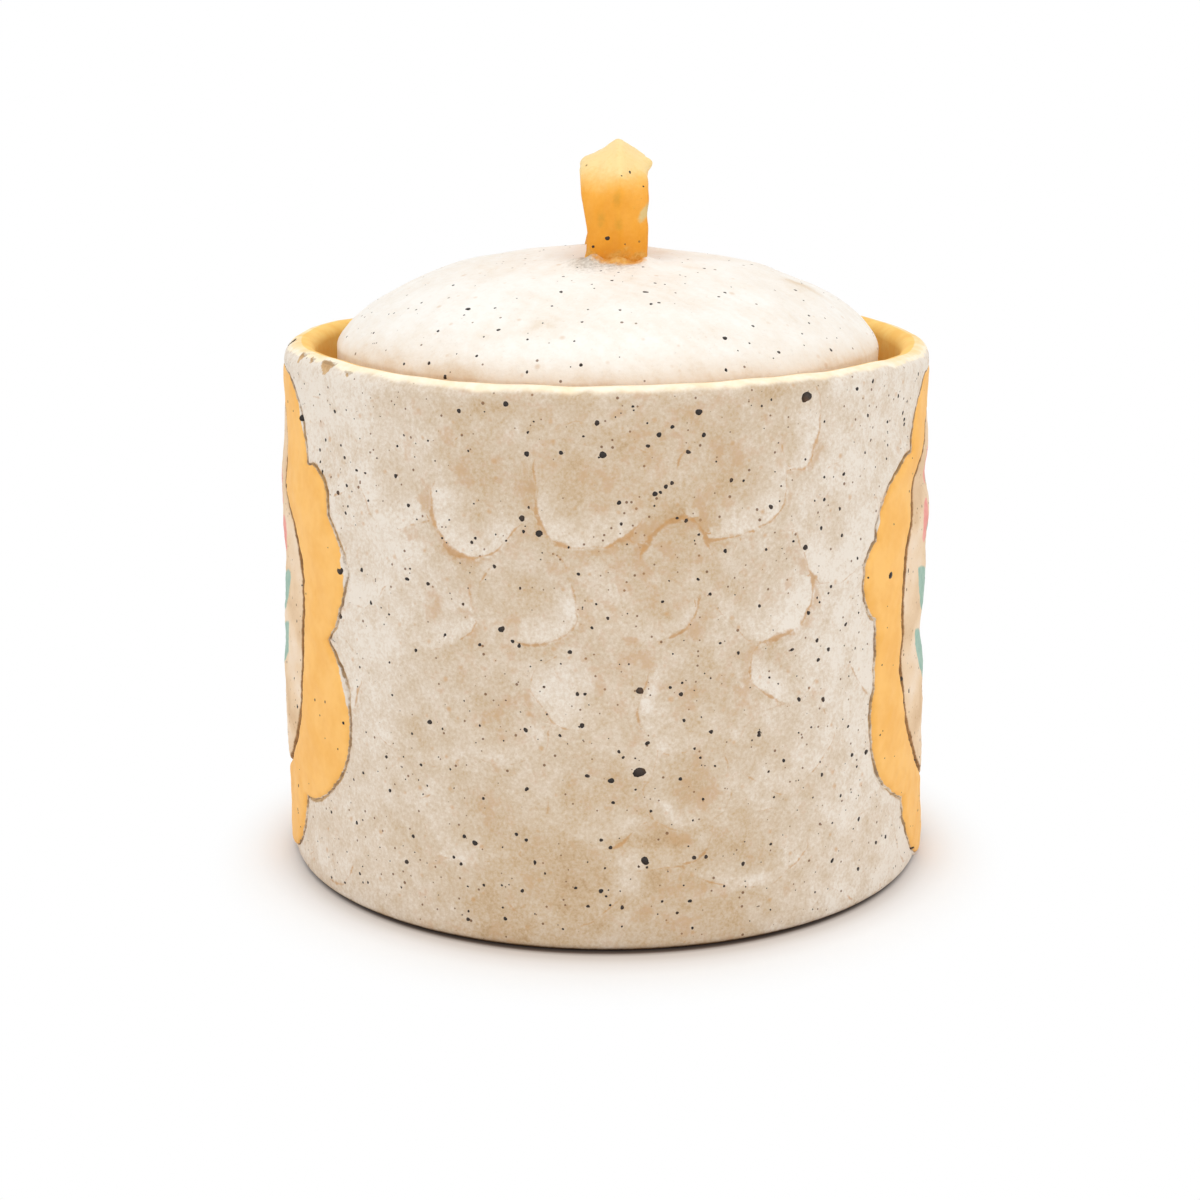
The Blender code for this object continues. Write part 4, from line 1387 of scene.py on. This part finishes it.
@dataclass
class Lid:
    """The domed lid and the strap that lifts it.

    Attributes:
        radius: of its side.
        crown: height of the dome's top.
        foot: height of its lower edge.
        side_top: height at which the dome starts.
        thickness: of the clay.
        across_power: superellipse power across.
        up_power: superellipse power upwards.
        steps: faces round the lid.
        strap_shift: how far the strap stands off the middle.
        strap_half: half of its width.
        loop_half: half of the loop's span.
        loop_centre: height of the loop's middle.
        loop_rise: from there to its top.
        buried: how far its ends go on below the loop's middle, in degrees.
        loop_power: below 1 for a loop that is squarer than an ellipse.
    """

    radius: float
    crown: float
    foot: float
    side_top: float = 80.0
    thickness: float = 4.8
    across_power: float = 2.25
    up_power: float = 1.54
    steps: int = 420
    strap_shift: float = 1.2
    strap_half: float = 5.0
    loop_half: float = 11.2
    loop_centre: float = 96.5
    loop_rise: float = 10.6
    buried: float = 28.0
    loop_power: float = 0.86

    # Rounding of the dome's lower edges
    EASE = 1.4
    # Radius, count and depth of each ring of dents
    DENT_RINGS = ((31.0, 11, 0.34), (18.5, 7, 0.28))
    # Distance across and height of the strap's olive stains
    STAINS = ((1.4, 102.6), (-0.9, 99.6), (1.7, 99.0))

    def dome(self, radius: float, side_top: float, crown: float, count: int) -> list[tuple[float, float]]:
        """Points of a dome's section from its crown down to its side."""
        points = []
        for turn in np.linspace(math.pi / 2, 0, count):
            across = radius * max(math.cos(turn), 0.0) ** (2 / self.across_power)
            up = side_top + (crown - side_top) * math.sin(turn) ** (2 / self.up_power)
            points.append((0.0 if not points else across, up))
        return points

    def dents(self) -> list[Dent]:
        """Dents of the fingers that shaped the dome, in two loose rings."""
        dice = np.random.default_rng(23)
        made = []
        for ring_radius, count, depth in self.DENT_RINGS:
            for index in range(count):
                azimuth = index * 360 / count + dice.normal(0, 6)
                sizes = dice.uniform(6.5, 10.0), dice.uniform(4.5, 7.0)
                radius = ring_radius + dice.normal(0, 1.5)
                made.append(Dent(azimuth, radius, *sizes, depth * dice.uniform(0.6, 1.3)))
        return made

    def build(self) -> list[bpy.types.Object]:
        """Builds the dome and the strap.

        Returns:
            The dressed pieces.
        """
        return [self.cap(), self.strap()]

    def cap_profile(self) -> list[tuple[float, float]]:
        """Points of the dome's section: down the outside, round its lower edge and up the hollow.

        Returns:
            Radius and height of each point.
        """
        ease, brim = self.EASE, self.foot + self.EASE
        inner = self.radius - self.thickness
        turns = np.linspace(0, math.pi / 2, 5)
        profile = self.dome(self.radius, self.side_top, self.crown, 86)
        profile += [(self.radius, height) for height in np.linspace(self.side_top, brim, 7)[1:-1]]
        profile += [(self.radius - ease + ease * math.cos(t), brim - ease * math.sin(t)) for t in turns]
        profile += [(inner + ease - ease * math.sin(t), brim - ease * math.cos(t)) for t in turns]
        hollow = self.dome(inner, self.side_top - self.thickness / 2, self.crown - self.thickness, 24)
        return profile + hollow[::-1]

    def strap_feet(self, points: np.ndarray) -> tuple[np.ndarray, np.ndarray, np.ndarray]:
        """Clay and colour round the strap's feet.

        Args:
            points: places on the dome.

        Returns:
            How far clay is smeared up at each place, how far inside spilt yellow it is, and how smudged.
        """
        x, y, _ = points.T
        ahead = np.abs(y) - self.loop_half + 0.2
        foot_gap = np.abs(ahead)
        fillet = np.exp(-((x - self.strap_shift) / 6.3) ** 4 - (foot_gap / 2.0) ** 2)
        fillet *= np.where(y < 0, 0.9 + 0.45 * ripple(points, 3.4, 108), 0.2)
        beside = np.maximum(np.abs(x - self.strap_shift - 0.3) - 3.6, 0)
        beyond = np.hypot(beside, np.maximum(foot_gap - 1.6, 0))
        spill = 0.1 + 1.2 * np.exp(-((x - 2.2) / 2.6) ** 2) - beyond
        reach = np.where(ahead > 0, 4.6, 2.6)
        smear = np.exp(-((x - self.strap_shift + 1.6) / 5.4) ** 4 - (ahead / reach) ** 2)
        return fillet, spill, 0.85 * smear

    def cap(self) -> bpy.types.Object:
        """The dome, dented by hand, with clay smeared up to the strap's feet.

        Returns:
            The dressed dome.
        """
        piece = turned("lid_cap", self.cap_profile(), self.steps)
        points = get_points(piece)
        x, y, z = points.T
        radius, azimuth = np.hypot(x, y), np.arctan2(y, x)
        share, height = radius / self.radius, self.crown - self.side_top
        rise = np.clip((z - self.side_top) / height, 0, 1)
        level = share ** self.across_power + rise ** self.up_power
        outer = smooth(0.8, 0.97, level) * smooth(self.foot, self.foot + 3, z)
        slope_out = self.across_power / self.radius * share ** (self.across_power - 1)
        slope_up = self.up_power / height * rise ** (self.up_power - 1)
        steep = np.hypot(slope_out, slope_up) + 1e-9
        way = np.stack((x / (radius + 1e-9) * slope_out, y / (radius + 1e-9) * slope_out, slope_up), axis=1)
        moved = 0.2 * ripple(points, 30, 101) + 0.08 * ripple(points, 10, 102)
        moved += 0.025 * ripple(points, 3.5, 103)
        streak = np.zeros(len(points))
        for dent in self.dents():
            turn = turn_from(math.radians(dent.azimuth), azimuth)
            far = np.hypot(turn * dent.radius / dent.half_across, (radius - dent.radius) / dent.half_along)
            moved -= dent.depth * np.exp(-(far / 0.75) ** 2)
            streak += np.exp(-((far - 0.95) / 0.16) ** 2) * smooth(-0.2, 0.8, np.sin(turn * 3 + dent.radius))
        fillet, spill, smudge = self.strap_feet(points)
        set_points(piece, points + way / steep[:, None] * ((moved + fillet) * outer)[:, None])
        tone = 0.84 + 0.1 * ripple(points, 17, 104) + 0.08 * ripple(points, 6, 105)
        tone += 0.05 * ripple(points, 2.2, 106)
        tone -= 0.2 * streak * (0.5 + 0.5 * ripple(points, 12, 107)) + 0.34 * smooth(84.0, 79.0, z)
        measure(
            piece, tone=np.clip(tone, 0, 1), smudge=smudge * outer,
            spill=np.where(outer > 0.5, spill, NOWHERE),
            bare=np.where((level < 0.85) | (z < self.foot + 1.2), 1.0, 0.0),
        )
        dress(piece, Body.LID, Slot.SLIP, LID_SLIP, "lid_dome")
        return piece

    def section(self, count: int) -> np.ndarray:
        """Points round the strap's section: flat inside, with a pinched ridge outside.

        Args:
            count: how many points.

        Returns:
            Rows of distance across and out of the loop.
        """
        half = self.strap_half
        side = [(half - 0.6, -1.5), (half, -0.9), (half, 0.4), (half - 0.6, 1.0), (half * 0.3, 2.6)]
        corners = np.array([(0.0, -1.5), *side, (0.0, 3.75), *((-a, o) for a, o in side[::-1]), (0.0, -1.5)])
        along = np.concatenate(([0], np.hypot(*np.diff(corners, axis=0).T).cumsum()))
        at = np.linspace(0, along[-1], count, endpoint=False)
        ring = np.stack([np.interp(at, along, corners[:, axis]) for axis in (0, 1)], axis=1)
        return sum(np.roll(ring, shift, axis=0) for shift in range(-3, 4)) / 7

    def strap(self) -> bpy.types.Object:
        """The pinched strap, bent over from one foot to the other.

        Returns:
            The dressed strap.
        """
        section = self.section(96)
        buried = math.radians(self.buried)
        turns = np.linspace(-buried, math.pi + buried, 170)
        bend = np.stack((-np.cos(turns), np.sin(turns)), axis=1)
        path = np.sign(bend) * np.abs(bend) ** self.loop_power * (self.loop_half, self.loop_rise)
        path += (0.0, self.loop_centre)
        along = np.gradient(path, axis=0)
        out = np.stack((-along[:, 1], along[:, 0]), axis=1) / np.linalg.norm(along, axis=1)[:, None]
        level = bend[:, 1:]
        low = smooth(0.75, 0.0, level) - 0.6 * smooth(0.05, -0.3, level)
        left = 1.046 - 0.21 * low
        right = 0.976 - 0.04 * low + 0.05 * np.exp(-((level - 0.5) / 0.14) ** 2)
        crest = np.maximum(section[:, 1] - 0.2, 0)
        ridge = section[:, 1] - crest * (0.6 - 0.6 * smooth(0.2, 0.9, level))
        across = section[:, 0] * np.where(section[:, 0] < 0, left, right) + 0.2 * np.clip(section[:, 1], 0, 3)
        points = np.empty((len(turns), len(section), 3))
        points[:, :, 0] = self.strap_shift + across
        points[:, :, 1:] = path[:, None] + ridge[:, :, None] * out[:, None]
        points = np.concatenate((points, points[:, :1]), axis=1)
        flat = points.reshape(-1, 3)
        hub = flat * (0, 0.7, 0.75) + (self.strap_shift, 0, 0.25 * self.loop_centre)
        way = flat - hub
        way /= np.linalg.norm(way, axis=1)[:, None]
        moved = 0.13 * ripple(flat, 6.5, 111) + 0.06 * ripple(flat, 2.4, 112)
        burr = np.exp(-((flat - (6.2, -3.0, 107.2)) ** 2).sum(axis=1) / 1.1 ** 2)
        flat = flat + way * moved[:, None] + burr[:, None] * (0.8, 0.0, 0.1)
        piece, kept = wrapped("lid_strap", flat.reshape(points.shape))
        x, y, z = flat.T
        # Paler towards the top and darker towards the feet: partly rubbing, partly painted highlight above
        # and painted shade below
        tone = 0.26 + 0.2 * smooth(94, 101, z) + 0.56 * smooth(101.8, 107.8, z) + 0.15 * burr
        tone += 0.04 * ripple(flat, 5, 113)
        front = y < -6
        stain = sum(np.exp(-((x - at) / 0.7) ** 2 - ((z - up) / 1.4) ** 2) for at, up in self.STAINS)
        slant = np.stack((0.57 * (x - 5.6) + 0.82 * (z - 100.6), -0.82 * (x - 5.6) + 0.57 * (z - 100.6)))
        scrape = 0.6 * (1 - np.hypot(slant[0] / 1.5, slant[1] / 0.6))
        smudge = 0.8 * smooth(95.8, 94.0, z - 0.6 * ripple(flat, 3, 115))
        measure(
            piece, tone=np.clip(tone, 0, 1)[kept], smudge=smudge[kept],
            stain=np.where(front, stain, 0.0)[kept], scrape=np.where(front, scrape, -1.0)[kept],
        )
        dress(piece, Body.LID, Slot.YELLOW, STRAP_YELLOW, "lid_handle")
        return piece


@dataclass(frozen=True)
class PhotoCamera:
    """The camera, where it stood for the photo.

    Attributes:
        place: of its lens.
        dip: how far it looks down, in degrees.
        lens: focal length.
        sensor: width of its sensor.
        pixels: width and height of the photo.
    """

    place: tuple[float, float, float] = (-1.09, -346.4, 130.46)
    dip: float = 14.864
    lens: float = 67.5
    sensor: float = 36.0
    pixels: int = 1200

    @property
    def tilt(self) -> Euler:
        """How it is turned."""
        return Euler((math.radians(90 - self.dip), 0, 0))

    def way(self, column: float, row: float) -> Vector:
        """Which way it sees a pixel.

        Args:
            column: the pixel's, from the left.
            row: the pixel's, from the top.

        Returns:
            The way from the lens.
        """
        middle = self.pixels / 2
        way = Vector((column - middle, middle - row, -self.pixels * self.lens / self.sensor))
        way.rotate(self.tilt)
        return way.normalized()


CAMERA = PhotoCamera()


class SeenSpeck(NamedTuple):
    """A speck that stands out in the photo: its pixel, and its width in millimetres."""

    column: int
    row: int
    width: float


class StrapSpeck(NamedTuple):
    """A speck on the strap's front: its x, its height and its width in millimetres."""

    across: float
    up: float
    width: float


WALL_SPECKS = tuple(SeenSpeck(*seen) for seen in (
    (639, 772, 1.8), (807, 397, 1.8), (645, 860, 1.5), (603, 455, 1.4), (611, 781, 1.3), (699, 412, 1.2),
    (891, 575, 1.5), (639, 691, 1.3), (522, 518, 1.2), (539, 534, 1.1), (502, 629, 1.1), (340, 571, 1.1),
    (475, 843, 1.1), (506, 404, 1.1), (866, 752, 1.1), (597, 423, 1.0), (527, 454, 1.0), (655, 494, 1.0),
    (601, 891, 1.0), (430, 722, 1.0), (771, 507, 1.0), (659, 435, 1.0), (407, 862, 1.1), (619, 503, 0.9),
    (805, 548, 1.0), (759, 735, 0.9), (706, 857, 0.9), (459, 411, 0.9), (799, 699, 0.9), (688, 452, 0.9),
    (570, 652, 0.9), (428, 584, 0.9), (858, 869, 0.9), (852, 755, 0.9), (823, 699, 0.9), (743, 864, 0.9),
    (587, 776, 0.9), (582, 726, 0.9), (686, 521, 0.8), (648, 446, 0.8), (832, 861, 0.9), (690, 901, 0.8),
    (672, 483, 0.8), (648, 743, 0.8), (535, 862, 0.8), (519, 646, 0.8), (461, 864, 0.8), (844, 474, 0.8),
    (292, 342, 1.8), (303, 418, 1.1),
))
LID_SPECKS = tuple(SeenSpeck(*seen) for seen in (
    (468, 309, 1.06), (495, 308, 0.62), (438, 331, 0.69), (429, 363, 0.75), (404, 364, 0.62),
    (445, 377, 0.69), (527, 372, 0.62), (581, 365, 0.75), (582, 322, 0.62), (552, 306, 0.56),
    (561, 292, 0.81), (651, 304, 0.75), (620, 310, 0.62), (645, 292, 1.0), (655, 283, 0.62),
    (725, 338, 0.94), (753, 326, 0.69), (726, 370, 0.69), (831, 350, 0.75), (809, 323, 0.62),
))
STRAP_SPECKS = tuple(StrapSpeck(*row) for row in (
    (3.3, 106.3, 0.75), (2.1, 105.9, 0.35), (5.3, 104.3, 0.45), (0.0, 96.9, 0.85), (-2.1, 95.7, 0.55),
    (2.6, 96.1, 0.35),
))


class Ray(NamedTuple):
    """A ray that looks for a speck's place: in millimetres, with whether the speck may be left out."""

    start: Vector
    way: Vector
    width: float
    loose: bool


@dataclass
class IronSpecks:
    """Iron specks that stand a hair over the glaze, on the jar or on the lid.

    Attributes:
        name: name of the piece.
        body: body that carries them.
        carriers: pieces that they lie on, the most speckled first.
        count: how many small ones are scattered.
        seed: picks their places.
        corners: points round one speck.
        away: distance from the axis or the front at which a level ray starts.
        above: height at which an upright ray starts.
        lid_reach: how far out on the lid the small ones go.
        thinned: share of the small ones left out on the less speckled pieces.
    """

    name: str
    body: Body
    carriers: list[bpy.types.Object]
    count: int
    seed: int
    corners: int = 11
    away: float = 80.0
    above: float = 130.0
    lid_reach: float = 41.0
    thinned: float = 0.6

    def seen_rays(self, specks: tuple[SeenSpeck, ...]) -> list[Ray]:
        """Rays from the camera at the specks that stand out in the photo."""
        start = Vector(CAMERA.place)
        return [Ray(start, CAMERA.way(speck.column, speck.row), speck.width, False) for speck in specks]

    def wall_rays(self, dice: np.random.Generator) -> list[Ray]:
        """Rays at the wall's large specks, and then level ones for the small specks all round."""
        made = self.seen_rays(WALL_SPECKS)
        for angle, up, luck in dice.uniform((0, 2.5, 0), (360, 79, 1), (self.count, 3)):
            azimuth = FRONT + math.radians(angle)
            way = Vector((-math.cos(azimuth), -math.sin(azimuth), 0))
            made.append(Ray(Vector((0, 0, up)) - way * self.away, way, 0.3 + 0.6 * luck ** 2, True))
        return made

    def lid_rays(self, dice: np.random.Generator) -> list[Ray]:
        """Rays level at the strap's front, then at the lid's large specks and down for its small ones."""
        ahead, down = Vector((0, 1, 0)), Vector((0, 0, -1))
        made = [Ray(Vector((x, -self.away, up)), ahead, width, False) for x, up, width in STRAP_SPECKS]
        made += self.seen_rays(LID_SPECKS)
        for area, turn, luck in dice.uniform((0, 0, 0), (1, TAU, 1), (self.count, 3)):
            out = self.lid_reach * area ** 0.5
            start = Vector((out * math.cos(turn), out * math.sin(turn), self.above))
            made.append(Ray(start, down, 0.3 + 0.5 * luck ** 2, True))
        return made

    def build(self) -> bpy.types.Object:
        """Drops every speck on the first surface that its ray meets.

        Returns:
            The dressed specks, as one piece.
        """
        dice = np.random.default_rng(self.seed)
        graph = bpy.context.evaluated_depsgraph_get()
        trees = [BVHTree.FromObject(carrier, graph) for carrier in self.carriers]
        corners, faces = [], []
        rays = self.wall_rays(dice) if self.body is Body.JAR else self.lid_rays(dice)
        for start, way, width, loose in rays:
            hits = [tree.ray_cast(start * MM, way) for tree in trees]
            hits = [(hit[3], index, hit) for index, hit in enumerate(hits) if hit[0] is not None]
            if not hits:
                continue
            _, index, (spot, normal, _, _) = min(hits, key=lambda hit: hit[0])
            if index and loose and dice.uniform() < self.thinned:
                continue
            self.add_speck(corners, faces, spot / MM, normal, width / 2, dice)
        piece = start_piece(self.name, bpy.ops.mesh.primitive_circle_add, vertices=3, fill_type="NOTHING")
        piece.data.clear_geometry()
        piece.data.from_pydata([tuple(corner * MM) for corner in corners], [], faces)
        close_up(piece)
        points = get_points(piece)
        measure(piece, tone=np.clip(0.15 + 0.42 * ripple(points, 4, 121), 0, 1))
        dress(piece, self.body, Slot.CLAY, IRON)
        return piece

    def add_speck(self, corners: list, faces: list, spot: Vector, normal: Vector, radius: float,
                  dice: np.random.Generator) -> None:
        """Adds one lens-shaped speck to the lists of corners and faces."""
        first = len(corners)
        side = normal.orthogonal().normalized()
        other = normal.cross(side)
        spin, lobe, oval = dice.uniform(0, TAU), dice.uniform(0, TAU), dice.uniform(0.02, 0.16)
        for turn in np.linspace(0, TAU, self.corners, endpoint=False):
            reach = radius * (1 + oval * math.cos(2 * turn + spin) + 0.07 * math.cos(3 * turn + lobe))
            corners.append(spot + (side * math.cos(turn) + other * math.sin(turn)) * reach - normal * 0.02)
        corners.append(spot + normal * (0.025 + 0.05 * radius))
        corners.append(spot - normal * 0.15)
        top, bottom = first + self.corners, first + self.corners + 1
        for index in range(self.corners):
            here, there = first + index, first + (index + 1) % self.corners
            faces.append((here, there, top))
            faces.append((there, here, bottom))


@dataclass(frozen=True)
class Lamp:
    """A soft box: its place, what it faces, its width and its power in watts."""

    name: str
    place: tuple[float, float, float]
    facing: tuple[float, float, float]
    width: float
    power: float

    def build(self) -> None:
        """Hangs the lamp."""
        bpy.ops.object.light_add(type="AREA", location=Vector(self.place) * MM)
        lamp = bpy.context.object
        lamp.name = self.name
        lamp.data.size = self.width * MM
        lamp.data.energy = self.power
        lamp.rotation_euler = (Vector(self.facing) - Vector(self.place)).to_track_quat("-Z", "Y").to_euler()


@dataclass
class Studio:
    """White floor, soft boxes, white surroundings and the camera.

    Attributes:
        fill: strength of the even light from all sides.
        lamps: the soft boxes.
    """

    fill: float = 0.5
    lamps: tuple[Lamp, ...] = (
        Lamp("lamp_above", (0, 20, 760), (0, 0, 60), 700, 2.3),
        Lamp("lamp_left", (-560, -400, 360), (0, 0, 40), 520, 1.5),
        Lamp("lamp_right", (560, -400, 360), (0, 0, 40), 520, 1.6),
    )

    # Painted contact shadow on the paper, from the foot's edge outwards: darkest in the narrow gap under it
    PAINTED_CONTACT_SHADOW = (
        (0.0, "#55473e"), (0.04, "#7d6d62"), (0.085, "#b4aaa3"), (0.17, "#d8d0ca"), (0.3, "#e0d9d4"),
        (0.4, "#e8e3df"), (0.56, "#f0ecea"), (1.0, "#f9f8f7"),
    )

    # Inner and outer radius, and how far in front of the axis the centre lies, in metres: of the ring of
    # painted contact shadow, in which the paper goes from dark to light, and of the one in which it goes to
    # plain white
    PAINTED_SHADOW_RING = (0.0483, 0.0563, 0.002)
    WHITE_RING = (0.044, 0.064, 0.006)

    def build(self) -> None:
        """Sets up everything round the object."""
        scene = bpy.context.scene
        scene.view_settings.view_transform = "Standard"
        for lamp in self.lamps:
            lamp.build()
        self.surroundings(scene)
        self.floor()
        bpy.ops.object.camera_add(location=Vector(CAMERA.place) * MM, rotation=CAMERA.tilt)
        camera = bpy.context.object
        camera.name = "photo_camera"
        camera.data.lens = CAMERA.lens
        camera.data.sensor_width = CAMERA.sensor
        camera.data.clip_start = 0.01
        scene.camera = camera

    def surroundings(self, scene: bpy.types.Scene) -> None:
        """Makes the world white to look at, and a soft fill as light."""
        world = bpy.data.worlds.new("white_room")
        world.use_nodes = True
        scene.world = world
        tree = world.node_tree
        rays = add_node(tree, "ShaderNodeLightPath").outputs
        seen = rays["Is Camera Ray"]
        for kind in ("Is Glossy Ray", "Is Transmission Ray"):
            seen = add_node(tree, "ShaderNodeMath", {0: seen, 1: rays[kind]}, operation="MAXIMUM").outputs[0]
        strength = add_node(tree, "ShaderNodeMapRange", {"Value": seen, "To Min": self.fill, "To Max": 1.0})
        background = tree.nodes["Background"]
        background.inputs["Color"].default_value = (1.0, 1.0, 1.0, 1.0)
        tree.links.new(strength.outputs[0], background.inputs["Strength"])

    def ring_share(self, tree: bpy.types.NodeTree, ring: tuple[float, float, float],
                   **settings: str) -> bpy.types.NodeSocket:
        """How far out in a ring a place on the floor is.

        Args:
            tree: the floor's node tree.
            ring: inner and outer radius, and shift to the front.
            **settings: of the node that spreads the share.

        Returns:
            The share, 0 at the inner radius and 1 at the outer.
        """
        low, high, shift = ring
        place = add_node(tree, "ShaderNodeTexCoord").outputs["Object"]
        away = add_node(tree, "ShaderNodeVectorMath", {0: place, 1: (0.0, -shift, 0.0)}, operation="DISTANCE")
        spread = {"Value": away.outputs["Value"], "From Min": low, "From Max": high}
        return add_node(tree, "ShaderNodeMapRange", spread, **settings).outputs[0]

    def floor(self) -> None:
        """Lays a white floor with a painted contact shadow near the jar, which also keeps the lamps' shadow,
        and goes to plain white further off.
        """
        floor = start_piece("floor", bpy.ops.mesh.primitive_plane_add, size=6.0)
        material = bpy.data.materials.new("white_paper_floor_with_painted_shadow")
        material.use_nodes = True
        tree = material.node_tree
        paper = tree.nodes["Principled BSDF"]
        paper.inputs["Roughness"].default_value = 1.0
        # Painted contact shadow: the paper's own colour darkens in a ring round the foot
        near = self.ring_share(tree, self.PAINTED_SHADOW_RING)
        shade = add_node(tree, "ShaderNodeValToRGB", {"Fac": near}, self.PAINTED_CONTACT_SHADOW).outputs["Color"]
        tree.links.new(shade, paper.inputs["Base Color"])
        share = self.ring_share(tree, self.WHITE_RING, interpolation_type="SMOOTHSTEP")
        seen = add_node(tree, "ShaderNodeLightPath").outputs["Is Camera Ray"]
        white = add_node(tree, "ShaderNodeMath", {0: share, 1: seen}, operation="MULTIPLY").outputs[0]
        glow = add_node(tree, "ShaderNodeEmission").outputs[0]
        mixed = add_node(tree, "ShaderNodeMixShader", {0: white, 1: paper.outputs[0], 2: glow}).outputs[0]
        tree.links.new(mixed, tree.nodes["Material Output"].inputs["Surface"])
        floor.data.materials.append(material)


def main() -> None:
    """Builds the jar, the lid and the studio."""
    logging.basicConfig(level=logging.INFO, format="%(message)s")
    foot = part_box("wall_slab")[1]
    surface = WallSurface(50.2, 49.3, foot.z / MM)
    wall = WallBody(surface).build()
    sides = []
    for cartouche in CARTOUCHES:
        sides += FramedPanel(surface, cartouche).build()
    Inside().build()
    low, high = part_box("lid_dome")
    lid = Lid(high.x / MM, high.z / MM, low.z / MM).build()
    IronSpecks("jar_specks", Body.JAR, [wall, *sides], count=1250, seed=131).build()
    IronSpecks("lid_specks", Body.LID, lid, count=115, seed=132).build()
    Studio().build()


if __name__ == "__main__":
    main()
